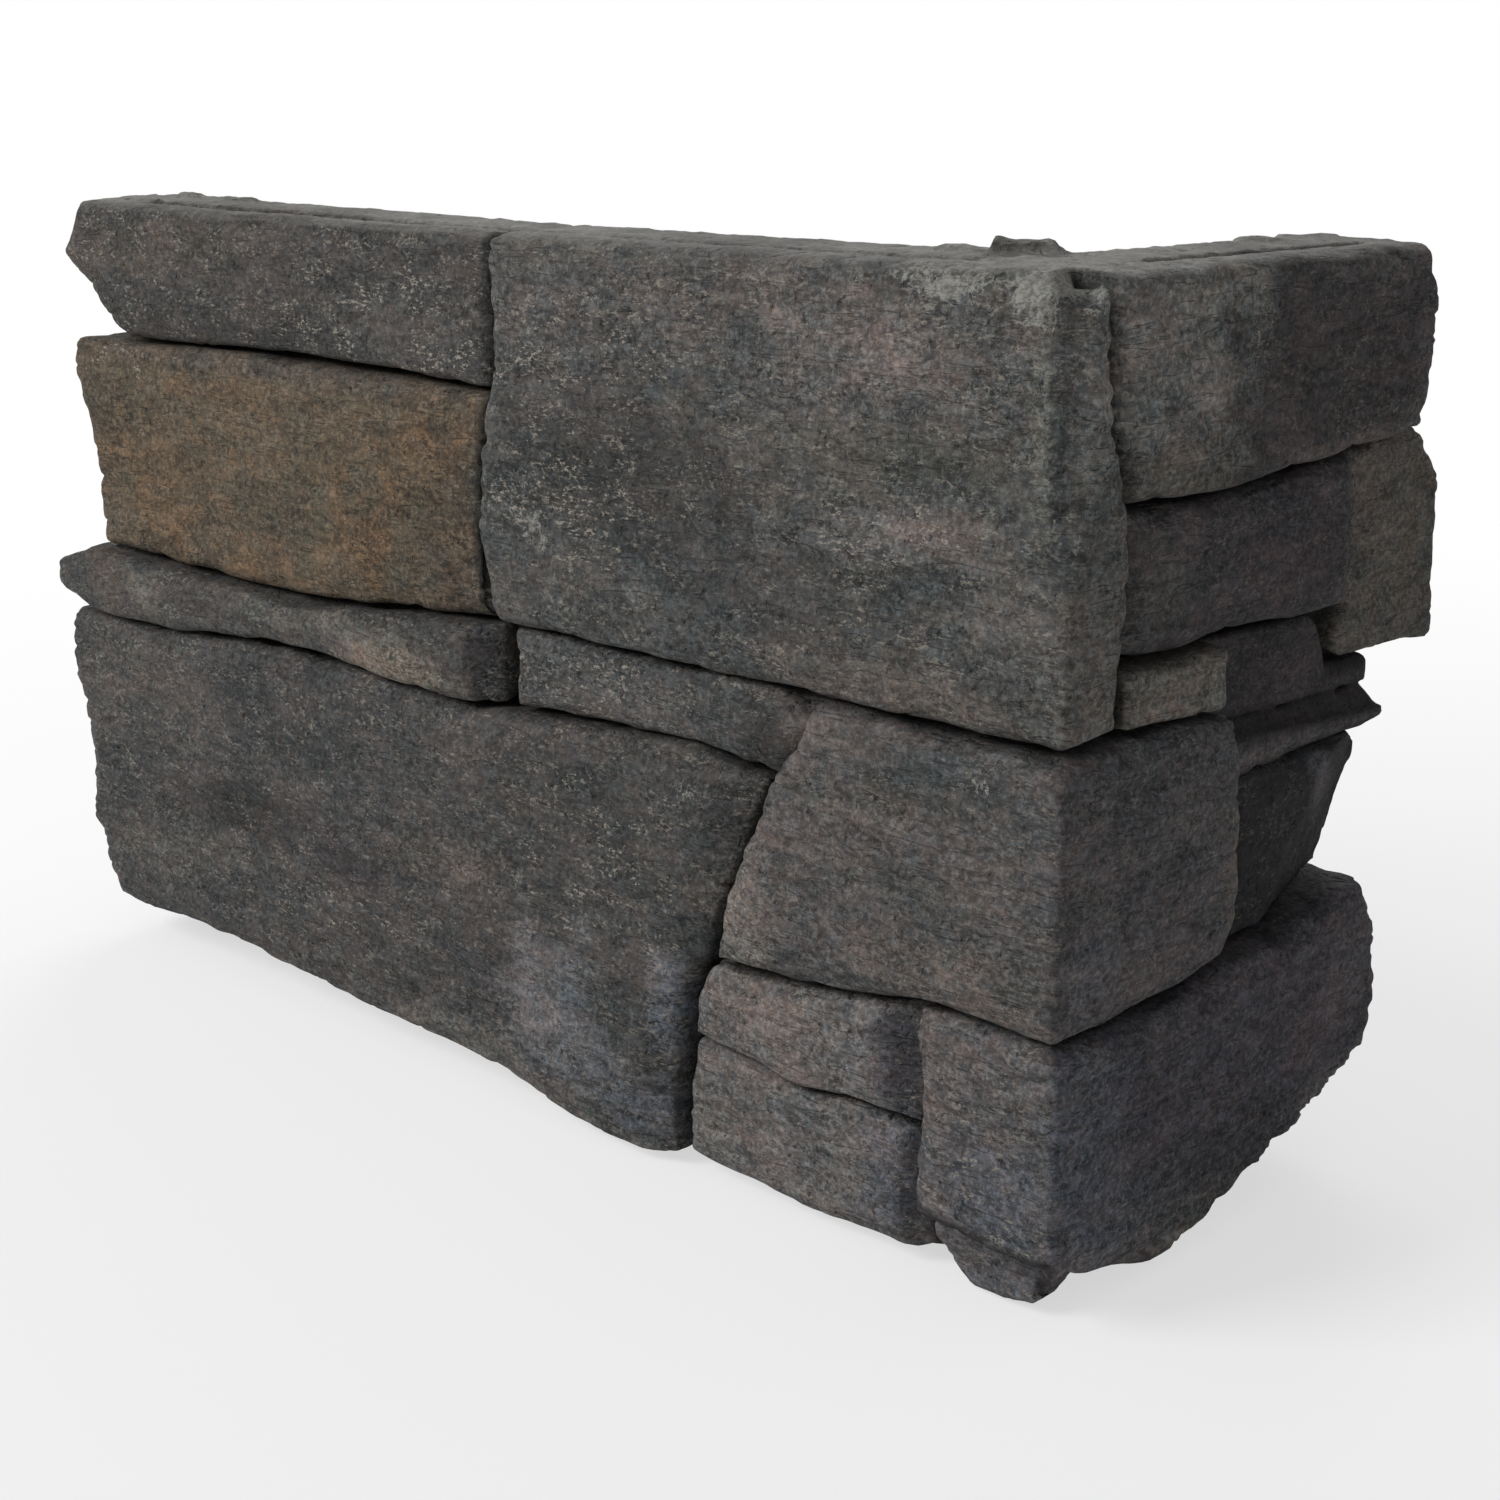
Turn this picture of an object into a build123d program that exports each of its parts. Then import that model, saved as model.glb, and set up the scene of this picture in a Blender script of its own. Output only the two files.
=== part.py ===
"""Stone cladding corner piece: one cast concrete panel, bent round an outside corner.

The face is moulded as a wall of squared rubble. Every moulded stone has its own outline, its own
relief and its own small turn, and three of them wrap the corner. All of it is one solid, in
millimetres, +Z up. The flat back of the long leg is the plane y = 0 and faces +Y, the flat back of
the return is the plane x = 0 and faces -X, and they meet in the inside corner, the line x = y = 0.
The panel stands on the plane z = 0.

On either leg a place on the face is (s, z): s is the distance from the outside corner, z the height.
A depth d is measured from the flat back of that leg outwards.
"""
from build123d import *
import os
from math import cos, exp, hypot, pi, radians, sin

# Courses, counted up from the floor
COURSE_FOOT = 92.0      # up to the bed under the middle corner stone
COURSE_MIDDLE = 85.0    # the middle corner stone
COURSE_UPPER = 79.0     # up to the bed between the two long stones at the upper left
COURSE_TOP = 49.0       # the uppermost long stone
BED_LOW = COURSE_FOOT
BED_MIDDLE = BED_LOW + COURSE_MIDDLE
BED_UPPER = BED_MIDDLE + COURSE_UPPER
TOP = BED_UPPER + COURSE_TOP

# Thin courses and beds that belong to one side only
LEDGE_RISE = 29.0       # thin ledge and thin slip above the great lower stone
LEDGE_DIP = 9.0         # how far the bed over the ledge falls towards the free end
SLIP_RISE = 41.5        # the two small stones beside the bottom corner stone: their bed below BED_LOW
TONGUE_RISE = 25.0      # the cement tongue under the bottom corner stone
RETURN_TOP_STONE = 62.0     # height of the uppermost stone of the return
RETURN_BLOCK_RISE = 47.0    # the stone below it
RETURN_THIN_RISE = 13.0     # the lowest thin layer of the return
RETURN_THIN_DROP = 12.0     # its upper bed, below BED_MIDDLE

# Lengths along the faces, from the outside corner
CORNER_STONE = 244.0    # the great upper corner stone on the long leg
LEFT_STONE = 268.0      # the long stones beyond it
LOW_HEAD = 146.0        # the head joint between the great lower stone and the corner group
PILLAR_HEAD = 47.0      # the head joint between the bottom corner stone and the two small stones
RETURN_NEAR = 27.0      # where the great upper corner stone ends on the return
RETURN_MIDDLE = 90.0    # where the middle corner stone ends on the return
RETURN_BLOCK = 157.0    # where the second stone of the return ends
RETURN_LEG = 192.0      # the uppermost stone of the return
RETURN_FINGER = 30.0    # how far the recessed stone reaches past it
RETURN_BOTTOM = 174.0   # the bottom corner stone on the return
LONG_LEG = CORNER_STONE + LEFT_STONE

# Depths, from the flat back
BACKING = 30.0          # flat back to the floor of the joints
CORNER_DEPTH = 50.0     # flat back to the face line that s is measured from
ROOT = 8.0              # how close to the flat back the moulded stones are rooted

# Joints and edges
JOINT = 4.5             # clear width of a joint at its floor
HAIR_JOINT = 1.5        # clear width of the joints between the thin layers of the return
FREE_EDGE = 4.0         # how far an open or a running-in edge stands out past its line, before easing
DRAFT = 1.6             # how much a stone narrows from the joint floor to its shoulder
EASE = 6.0              # how far an eased edge runs in from the shoulder
ARRIS_RADIUS = 7.0      # the rounded outside arris of a corner stone
COVE = 6.0              # the filled angle where the two flat backs meet

# Broad forms of the faces
WAVE = 1.2              # how far the slow waves of a face stand above and below its plane
WAVE_LENGTH = 190.0     # from crest to crest along the face
WAVE_HEIGHT = 130.0     # and up it
SWELL = 1.8             # how far a swelling stands out at its middle
HOLLOW = 1.8            # how deep a hollow is
LONG_HOLLOW = 3.2       # the long hollow in the great lower stone
FACET = 33.0            # the usual width of the flat facets that a face is broken into
JOG = 6.0               # how far their corners stray from a regular net
PROUD = 2.5             # how far the faces of the corner stones may stand past their planes
SPLIT = 0.45            # how much a split-off facet falls for each millimetre along the face
STEEP_SPLIT = 0.8       # and a steep one

# Foot and top
FOOT_BACK = 4.0         # the foot of the backing at the flat back
FOOT_RISE = 7.0         # how much higher it is at the joint floor
BULGE = 4.0             # foot line of the great lower stone at its lowest; its edge stands out below it
LOW_FOOT = 13.5         # general foot line of the great lower stone
SMALL_FOOT = 7.0        # foot line of the small stone beside the corner
CORNER_FOOT = 26.0      # foot line of the bottom corner stone at the corner
RETURN_FOOT = 5.5       # the same at its lowest on the return
BACK_SETBACK = 22.0     # how far the backing stays inside the free end of the long leg
RETURN_SETBACK = 18.0   # and inside the free end of the return's bottom stone
CHIP_DEPTH = 26.0       # the notch broken out of the top of the outside corner, along the diagonal
CHIP_WIDTH = 22.0       # across it
CHIP_HEIGHT = 11.0      # and down the arris
TOP_GROOVE = 4.0        # depth of the seam on the top, between the stones and the backing
STRUCK_DROP = 1.5       # how much lower than the stones the back was struck off
STRUCK_START = 70.0     # from here on to the free end it rises
STRUCK_CREST = 280.0    # up to here it rises faster
STRUCK_RISE = 3.0       # its height above the stones at the free end
STRUCK_SHARE = 0.6      # the share of it that is reached at the crest
OVERFLOW = 4.5          # height of the lumps of cement that ran over the mould at the back


def along(line, value, axis):
    """The other coordinate of a line of points where its own coordinate has this value."""
    points = sorted(line, key=lambda point: point[axis])
    for low, high in zip(points, points[1:]):
        if value <= high[axis] or high is points[-1]:
            share = (value - low[axis]) / (high[axis] - low[axis])
            return low[1 - axis] + share * (high[1 - axis] - low[1 - axis])


def moved(line, ds, dz):
    """A line of points moved along the face and up."""
    return [(s + ds, z + dz) for s, z in line]


def crossing(head, bed):
    """Where an upright head joint meets a level bed joint."""
    z = bed[0][1]
    for _ in range(8):
        s = along(head, z, 1)
        z = along(bed, s, 0)
    return s, z


def outline(near, far, bottom, top, joint=JOINT, free=""):
    """A stone's outline between two heads and two beds: half a joint in at each joint.

    A side named in free stands out past its line: at an end, the foot or the top, where it lies
    open, and where a stone runs into its neighbour with only a crease between them.
    """
    stand = {"near": FREE_EDGE, "far": FREE_EDGE, "bottom": FREE_EDGE, "top": DRAFT}
    half = {side: -stand[side] if side in free else joint / 2 for side in ("near", "far", "bottom", "top")}
    near, far = moved(near, half["near"], 0), moved(far, -half["far"], 0)
    bottom, top = moved(bottom, 0, half["bottom"]), moved(top, 0, -half["top"])
    corners = [crossing(near, bottom), crossing(far, bottom), crossing(far, top), crossing(near, top)]
    sides = [(bottom, 0), (far, 1), (top, 0), (near, 1)]
    points = []
    for (line, axis), start, end in zip(sides, corners, corners[1:] + corners[:1]):
        step = EASE if end[axis] > start[axis] else -EASE
        inner = [p for p in line if (p[axis] - start[axis] - step) * step > 0
                 and (end[axis] - step - p[axis]) * step > 0]
        points.append(start)
        points.extend(sorted(inner, key=lambda point: point[axis], reverse=step < 0))
    return points


def inset(points, amount):
    """The outline moved inwards by the same amount along every side."""
    result = []
    for before, here, after in zip(points[-1:] + points[:-1], points, points[1:] + points[:1]):
        u = (here[0] - before[0], here[1] - before[1])
        v = (after[0] - here[0], after[1] - here[1])
        u = (u[0] / hypot(*u), u[1] / hypot(*u))
        v = (v[0] / hypot(*v), v[1] / hypot(*v))
        scale = amount / (1 + u[0] * v[0] + u[1] * v[1])
        result.append((here[0] - scale * (u[1] + v[1]), here[1] + scale * (u[0] + v[0])))
    return result


def on_long_leg(s, z, d):
    """A place on the long leg, in the part's own frame."""
    return (CORNER_DEPTH - s, -d, z)


def on_return(s, z, d):
    """A place on the return, in the part's own frame."""
    return (d, s - CORNER_DEPTH, z)


def proudness(s, z, swellings):
    """How far a face stands out at a place: slow waves, swellings, and hollows, whose rise is negative."""
    level, upright = 2 * pi / WAVE_LENGTH, 2 * pi / WAVE_HEIGHT
    height = WAVE / 2 * (sin(s * level + z * upright) + sin(z * upright * 2 - s * level / 2))
    for middle_s, middle_z, length, tall, turn, rise in swellings:
        c, t = cos(radians(turn)), sin(radians(turn))
        u = ((s - middle_s) * c + (z - middle_z) * t) / (length / 2)
        v = ((z - middle_z) * c - (s - middle_s) * t) / (tall / 2)
        height += rise * exp(-u * u - v * v)
    return height if s > EASE else 0.0


def spaced(low, high):
    """Places from low to high, about a facet apart."""
    count = max(2, round((high - low) / FACET))
    return [low + (high - low) * k / count for k in range(count + 1)]


def over_face(place, points, face, swellings):
    """All that lies over the broken face of a stone, as a solid with a faceted underside."""
    near, far = min(p[0] for p in points) - EASE, max(p[0] for p in points) + EASE
    columns = [near] + spaced(0.0, far) if near < 0 else spaced(near, far)
    rows = spaced(min(p[1] for p in points) - EASE, max(p[1] for p in points) + EASE)
    net = []
    for i, s in enumerate(columns):
        for j, z in enumerate(rows):
            ds = JOG * sin(2.4 * i + 4.1 * j) if 1 < i < len(columns) - 1 else 0.0
            dz = JOG * sin(3.7 * i + 1.9 * j) if 0 < j < len(rows) - 1 else 0.0
            net.append(place(s + ds, z + dz, face + proudness(s + ds, z + dz, swellings)))
    tall = len(rows)
    rings = []
    for i in range(len(columns) - 1):
        for j in range(tall - 1):
            a, b, c, d = (i * tall + j, (i + 1) * tall + j, (i + 1) * tall + j + 1, i * tall + j + 1)
            rings.extend([(a, b, c), (a, c, d)] if (i + j) % 2 else [(a, b, d), (b, c, d)])
    lid = [place(s, z, face + CORNER_DEPTH) for s in (columns[0], columns[-1]) for z in (rows[0], rows[-1])]
    last = len(net) - 1
    sides = [
        [net[j] for j in range(tall)] + [lid[1], lid[0]],
        [net[last - j] for j in range(tall)] + [lid[2], lid[3]],
        [net[i * tall] for i in range(len(columns))] + [lid[2], lid[0]],
        [net[i * tall + tall - 1] for i in range(len(columns))] + [lid[3], lid[1]],
        [lid[0], lid[1], lid[3], lid[2]],
    ]
    corners = [[net[k] for k in ring] for ring in rings] + sides
    return Solid(Shell([Face(Wire.make_polygon(ring, close=True)) for ring in corners]))


def split_off(block, place, face, s, z, towards, fall):
    """The block with a flat facet split off: it falls away from the face beyond a line through (s, z)."""
    c, t = cos(radians(towards)), sin(radians(towards))
    reach, above = LONG_LEG / 2, 2 * CORNER_DEPTH
    profile = [(-EASE, face + fall * EASE), (above, face - fall * above), (above, above), (-EASE, above)]
    ends = []
    for side in (reach, -reach):
        ring = [place(s + q * c + side * t, z + q * t - side * c, d) for q, d in profile]
        ends.append(Wire.make_polygon(ring, close=True))
    return block - Solid.make_loft(ends, ruled=True)


def moulded(place, points, relief, ease=EASE, swellings=(), splits=()):
    """A moulded stone: a draft up to its shoulder, an edge eased in two steps, and a broken face."""
    face = BACKING + relief
    draft = min(DRAFT, ease / 3)
    rings = [
        (ROOT, 0),
        (face - 0.8 * ease, draft),
        (face - 0.25 * ease, draft + 0.3 * ease),
        (face, draft + ease),
    ]
    if swellings:
        rings.append((face + 2 * PROUD, draft + ease + PROUD))
    wires = [
        Wire.make_polygon([place(s, z, depth) for s, z in inset(points, amount)], close=True)
        for depth, amount in rings
    ]
    block = Solid.make_loft(wires, ruled=True)
    if swellings:
        block = block - over_face(place, points, face, swellings)
    for split in splits:
        block = split_off(block, place, face, *split)
    return block


def turned(stone, place, points, turn, lean):
    """The stone turned a little about its own middle: turn about the upright, lean about the level."""
    s = sum(p[0] for p in points) / len(points)
    z = sum(p[1] for p in points) / len(points)
    middle = place(s, z, BACKING)
    level = (1, 0, 0) if place is on_long_leg else (0, 1, 0)
    return stone.rotate(Axis(middle, (0, 0, 1)), turn).rotate(Axis(middle, level), lean)


def stone(place, near, far, bottom, top, relief, turn=0.0, lean=0.0, ease=EASE, joint=JOINT, free="",
          swellings=(), splits=()):
    """One moulded stone on one leg."""
    points = outline(near, far, bottom, top, joint, free)
    return turned(moulded(place, points, relief, ease, swellings, splits), place, points, turn, lean)


def beyond_corner(reach=60.0):
    """A head line past the outside corner, for the stones that wrap it."""
    return [(-reach, -50.0), (-reach, TOP + 50.0)]


def corner_stone(front, side, front_relief, side_relief, ease=EASE, swellings=((), ()), splits=((), ())):
    """A stone that wraps the corner: a block on each leg, mitred together, with a rounded arris."""
    x, y = BACKING + side_relief, -(BACKING + front_relief)
    far = 4 * LONG_LEG
    slope = y / x
    front_half = Polyline((0, 0), (far, slope * far), (-far, slope * far), (-far, 0), close=True)
    side_half = Polyline((0, 0), (far, slope * far), (far, far), (0, far), close=True)
    halves = []
    for place, points, relief, half, rises, cuts in (
        (on_long_leg, front, front_relief, front_half, swellings[0], splits[0]),
        (on_return, side, side_relief, side_half, swellings[1], splits[1]),
    ):
        column = extrude(make_face(half), amount=2 * TOP).translate((0, 0, -TOP / 2))
        halves.append(moulded(place, points, relief, ease, rises, cuts) & column)
    x, y = x + PROUD, y - PROUD
    plan = make_face(Polyline((x, y), (x, far), (-far, far), (-far, y), close=True))
    arris = plan.vertices().sort_by(Axis.Y)[:2].sort_by(Axis.X)[-1]
    plan = fillet(arris, ARRIS_RADIUS + 2 * PROUD)
    rounded = extrude(plan, amount=2 * TOP).translate((0, 0, -TOP / 2))
    return (halves[0] + halves[1]) & rounded


def long_leg_lines():
    """The joint lines of the long leg: beds by distance, heads by height."""
    cs, ll = CORNER_STONE, LONG_LEG
    ledge = BED_MIDDLE - LEDGE_RISE
    low = BED_LOW
    return {
        "top": [(-80, TOP), (cs, TOP), (ll + 60, TOP + 2)],
        "upper": [(cs - 20, BED_UPPER - 1), (cs + 60, BED_UPPER + 1), (cs + 140, BED_UPPER + 2),
                  (ll - 45, BED_UPPER), (ll + 60, BED_UPPER - 1)],
        "middle": [(-80, BED_MIDDLE - 0.5), (33, BED_MIDDLE - 0.5), (97, BED_MIDDLE + 0.5),
                   (cs, BED_MIDDLE), (cs + 50, BED_MIDDLE - 4), (cs + 100, BED_MIDDLE - LEDGE_DIP),
                   (ll - 110, BED_MIDDLE - LEDGE_DIP), (ll + 60, BED_MIDDLE - LEDGE_DIP + 4)],
        "ledge": [(60, ledge - 1), (LOW_HEAD - 40, ledge), (LOW_HEAD, ledge + 4), (cs - 54, ledge + 2),
                  (cs + 14, ledge - 2), (cs + 70, ledge), (cs + 135, ledge),
                  (ll - 63, ledge - 6), (ll + 60, ledge - 8)],
        "low": [(-80, low), (30, low + 1), (48, low), (72, low - 4), (97, low - 8),
                (LOW_HEAD + 30, low - 10)],
        "small": [(20, low - SLIP_RISE - 1), (79, low - SLIP_RISE), (99, low - SLIP_RISE - 3),
                  (118, low - SLIP_RISE + 1), (LOW_HEAD + 30, low - SLIP_RISE + 3)],
        "foot_small": [(20, SMALL_FOOT + 2), (76, SMALL_FOOT), (97, SMALL_FOOT - 1),
                       (131, SMALL_FOOT + 1), (LOW_HEAD + 30, SMALL_FOOT + 4)],
        "foot_great": [(LOW_HEAD - 30, BULGE + 12), (LOW_HEAD + 5, BULGE + 4), (LOW_HEAD + 19, BULGE),
                       (LOW_HEAD + 38, BULGE),
                       (cs - 36, LOW_FOOT - 7), (cs - 8, LOW_FOOT - 1), (cs + 50, LOW_FOOT - 1),
                       (cs + 112, LOW_FOOT + 2), (ll - 68, LOW_FOOT + 5), (ll - 40, LOW_FOOT + 2),
                       (ll + 60, LOW_FOOT + 3)],
        "foot_corner": [(-80, CORNER_FOOT), (8, CORNER_FOOT + 1), (80, CORNER_FOOT + 5)],
        "tongue_foot": [(-80, 8), (4, 7), (17, 4), (29, 4), (36, 7), (39, 15), (60, 29)],
        "tongue_top": [(-80, TONGUE_RISE), (60, TONGUE_RISE + 4)],
        "head_tongue": [(PILLAR_HEAD - 5, -20), (PILLAR_HEAD - 2, TONGUE_RISE + 20)],
        "head_upper": [(cs - 7, BED_MIDDLE - 40), (cs - 6, BED_MIDDLE), (cs + 2, BED_MIDDLE + 8),
                       (cs + 4, BED_MIDDLE + 26), (cs + 2, BED_MIDDLE + 56), (cs - 3, BED_UPPER),
                       (cs - 5, BED_UPPER + 14), (cs - 3, TOP + 40)],
        "head_slip": [(LOW_HEAD - 40, ledge - 20), (LOW_HEAD - 43, ledge + 3),
                      (LOW_HEAD - 50, BED_MIDDLE - 13), (LOW_HEAD - 61, BED_MIDDLE)],
        "head_low": [(LOW_HEAD + 3, -20), (LOW_HEAD + 3, 22), (LOW_HEAD, 46), (LOW_HEAD - 2, low - 26),
                     (LOW_HEAD - 13, low - 10), (LOW_HEAD - 19, low + 11), (LOW_HEAD - 27, low + 30),
                     (LOW_HEAD - 38, ledge), (LOW_HEAD - 48, ledge + 12), (LOW_HEAD - 62, BED_MIDDLE + 10)],
        "head_pillar": [(PILLAR_HEAD - 7, -20), (PILLAR_HEAD - 4, 12), (PILLAR_HEAD, 32),
                        (PILLAR_HEAD - 2, 58), (PILLAR_HEAD, 78), (PILLAR_HEAD + 3, low + 20)],
        "end_top": [(ll - 54, BED_UPPER - 10), (ll - 43, BED_UPPER + 4), (ll - 25, BED_UPPER + 11),
                    (ll - 12, BED_UPPER + 19), (ll + 1, BED_UPPER + 29), (ll - 7, BED_UPPER + 41),
                    (ll - 14, TOP + 10)],
        "end_brown": [(ll - 32, BED_MIDDLE - 20), (ll - 20, BED_MIDDLE - 1), (ll - 19, BED_MIDDLE + 22),
                      (ll - 15, BED_MIDDLE + 40), (ll - 6, BED_MIDDLE + 60), (ll - 13, BED_UPPER + 10)],
        "end_ledge": [(ll - 30, ledge - 8), (ll + 8, ledge + 2), (ll + 8, ledge + 12),
                      (ll - 40, ledge + 27)],
        "end_great": [(ll - 36, -10), (ll - 18, LOW_FOOT + 8), (ll - 9, LOW_FOOT + 24),
                      (ll - 3, LOW_FOOT + 32), (ll - 8, low - 18), (ll - 1, low + 2), (ll + 6, low + 24),
                      (ll + 3, ledge + 20)],
    }


def return_lines():
    """The joint lines of the return, in the same way."""
    near, middle, block, leg = RETURN_NEAR, RETURN_MIDDLE, RETURN_BLOCK, RETURN_LEG
    finger, bottom = leg + RETURN_FINGER, RETURN_BOTTOM
    upper = TOP - RETURN_TOP_STONE
    thin = BED_MIDDLE - RETURN_THIN_DROP
    small = upper - RETURN_BLOCK_RISE
    low = BED_LOW
    return {
        "top": [(-80, TOP), (finger + 60, TOP)],
        "upper": [(0, upper), (73, upper - 2), (128, upper + 1), (block, upper + 3), (finger + 60, upper + 9)],
        "small": [(0, small + 3), (58, small), (100, small + 1), (127, small - 1), (finger + 60, small - 3)],
        "middle": [(-80, BED_MIDDLE - 0.5), (0, BED_MIDDLE - 0.5), (30, BED_MIDDLE + 1),
                   (60, BED_MIDDLE), (middle + 60, BED_MIDDLE - 8)],
        "finger": [(block - 20, BED_MIDDLE - 4), (leg - 12, BED_MIDDLE - 5), (finger + 60, BED_MIDDLE - 9)],
        "block_foot": [(middle - 20, small - 2), (block - 8, small - 4), (block + 2, BED_MIDDLE - 4),
                       (finger + 60, BED_MIDDLE - 8)],
        "thin": [(middle - 30, thin), (middle + 25, thin - 1), (block + 40, thin - 4)],
        "wedge": [(middle - 30, thin - RETURN_THIN_RISE - 2), (middle + 62, thin - RETURN_THIN_RISE + 1),
                  (block + 40, thin - RETURN_THIN_RISE + 2)],
        "low": [(-80, low), (60, low - 0.5), (80, low + 3), (117, low + 3), (133, low + 9),
                (block, low + 13), (finger + 60, low + 16)],
        "foot": [(-80, CORNER_FOOT), (-5, CORNER_FOOT), (5, CORNER_FOOT - 4), (16, RETURN_FOOT + 9),
                 (36, RETURN_FOOT + 4), (50, RETURN_FOOT), (75, RETURN_FOOT), (97, RETURN_FOOT + 8),
                 (bottom - 40, RETURN_FOOT + 13), (bottom - 8, RETURN_FOOT + 16),
                 (finger, RETURN_FOOT + 30)],
        "tongue_foot": [(-80, 8), (4, 7), (18, 8), (29, 11), (40, 20)],
        "tongue_top": [(-80, TONGUE_RISE), (40, TONGUE_RISE)],
        "head_tongue": [(RETURN_NEAR + 8, -20), (RETURN_NEAR + 8, TONGUE_RISE + 20)],
        "head_upper": [(10, TOP + 20), (15, TOP - 12), (18, TOP - 40), (near, upper), (near + 2, small + 20),
                       (near - 1, small), (near, BED_MIDDLE + 6), (near - 6, BED_MIDDLE - 6)],
        "head_small": [(middle - 8, BED_MIDDLE - 12), (middle - 8, small + 10)],
        "head_middle": [(middle - 16, low - 10), (middle - 8, low + 4), (middle, low + 12),
                        (middle + 3, low + 22), (middle + 1, low + 46), (middle - 2, low + 60),
                        (middle - 6, BED_MIDDLE + 10)],
        "head_block": [(block + 3, small - 30), (block + 1, small + 18), (block - 3, upper + 10)],
        "end_top": [(leg - 26, upper - 8), (leg - 1, upper + 7), (leg + 5, upper + 11),
                    (leg + 2, upper + 26), (leg + 2, upper + 46), (leg - 7, TOP + 4)],
        "end_finger": [(finger - 8, BED_MIDDLE - 12), (finger + 4, BED_MIDDLE + 2), (finger + 1, small),
                       (finger, upper - 16), (finger - 10, upper), (finger - 24, upper + 6)],
        "end_deep": [(leg - 10, thin - 8), (leg - 6, BED_MIDDLE), (leg - 12, BED_MIDDLE + 12)],
        "end_thin": [(leg - 14, thin - 20), (leg - 6, thin - 7), (leg - 16, thin + 6)],
        "end_wedge": [(block - 4, low), (block + 3, low + 14), (bottom - 5, low + 28), (bottom, low + 42),
                      (bottom + 2, low + 51), (bottom - 14, low + 62)],
        "end_bottom": [(bottom - 20, -10), (bottom - 5, RETURN_FOOT + 22), (bottom, RETURN_FOOT + 36),
                       (bottom + 4, RETURN_FOOT + 48), (bottom, low - 8), (bottom - 9, low + 7),
                       (bottom - 20, low + 20)],
    }


def backing():
    """The flat-backed body that carries the stones: an L in plan, its foot falling to the back."""
    left = -(LONG_LEG - CORNER_DEPTH - BACK_SETBACK)
    low_end = RETURN_BOTTOM - RETURN_SETBACK - CORNER_DEPTH
    finger_end = RETURN_LEG + RETURN_FINGER - RETURN_SETBACK - CORNER_DEPTH
    top = TOP - STRUCK_DROP
    section = [(0, FOOT_BACK), (BACKING, FOOT_BACK + FOOT_RISE), (BACKING, top), (0, top)]
    long_section = make_face(Polyline(*[(0, -d, z) for d, z in section], close=True))
    long_body = extrude(long_section, amount=BACKING - left, dir=(-1, 0, 0)).translate((BACKING, 0, 0))
    short_section = make_face(Polyline(*[(d, -BACKING, z) for d, z in section], close=True))
    short_body = extrude(short_section, amount=BACKING + low_end, dir=(0, 1, 0))
    struck = [(-STRUCK_START, 0, top - 1), (left, 0, top - 1), (left, 0, TOP + STRUCK_RISE),
              (-STRUCK_CREST, 0, TOP + STRUCK_SHARE * STRUCK_RISE), (-STRUCK_START, 0, top)]
    struck_body = extrude(make_face(Polyline(*struck, close=True)), amount=BACKING, dir=(0, -1, 0))
    reach = [(0, -BACKING, BED_MIDDLE - 4), (BACKING, -BACKING, BED_MIDDLE - 4),
             (BACKING, -BACKING, top), (0, -BACKING, top)]
    reach_body = extrude(make_face(Polyline(*reach, close=True)),
                         amount=BACKING + finger_end, dir=(0, 1, 0))
    square = make_face(Polyline((1, -1), (-COVE, -1), (-COVE, COVE), (1, COVE), close=True))
    cove = square - Pos(-COVE, COVE) * Circle(COVE)
    cove_body = extrude(cove, amount=top - FOOT_BACK).translate((0, 0, FOOT_BACK))
    return long_body + short_body + reach_body + cove_body + struck_body


def overflow(x, y, length, width, height, turn):
    """A lump of cement that ran over the mould's edge and set on the top at the back."""
    base = [(-0.5, -0.5), (0.1, -0.42), (0.5, -0.5), (0.42, 0.1), (0.5, 0.5), (-0.1, 0.44), (-0.5, 0.5)]
    crown = [(-0.34, -0.2), (0.08, -0.3), (0.36, -0.12), (0.24, 0.1), (0.3, 0.24), (-0.06, 0.3), (-0.4, 0.2)]
    wires = [
        Wire.make_polygon([(u * length, v * width, z) for u, v in ring], close=True)
        for ring, z in ((base, -3.0), (crown, height))
    ]
    return Solid.make_loft(wires, ruled=True).rotate(Axis.Z, turn).translate((x, y, TOP))


def overflow_lumps():
    """The lumps: at the free end, at the inside corner and at the end of the return."""
    free = -(LONG_LEG - CORNER_DEPTH)
    end = RETURN_LEG - CORNER_DEPTH
    return [
        overflow(free + 13, -13, 44, 17, OVERFLOW - 2, 6),
        overflow(free + 38, -9, 22, 13, OVERFLOW, -16),
        overflow(free + 68, -9, 40, 12, OVERFLOW - 1, 6),
        overflow(-17, -9, 38, 13, OVERFLOW - 2, 6),
        overflow(4, -13, 26, 14, OVERFLOW + 1, 20),
        overflow(11, end - 48, 15, 24, OVERFLOW - 2, 8),
        overflow(9, end - 14, 13, 50, OVERFLOW - 3, -4),
    ]


def top_seams():
    """The open seams on the top, between the moulded stones and the backing."""
    section = [(BACKING - 1, 2), (BACKING + 6, 2), (BACKING + 2, -TOP_GROOVE)]
    long_run = LONG_LEG - CORNER_DEPTH - 2 * BACK_SETBACK
    short_run = RETURN_LEG - CORNER_DEPTH - RETURN_SETBACK
    long_face = make_face(Polyline(*[(0, -d, TOP + z) for d, z in section], close=True))
    short_face = make_face(Polyline(*[(d, 0, TOP + z) for d, z in section], close=True))
    return [
        extrude(long_face, amount=long_run, dir=(-1, 0, 0)),
        extrude(short_face, amount=short_run, dir=(0, 1, 0)),
    ]


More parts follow.
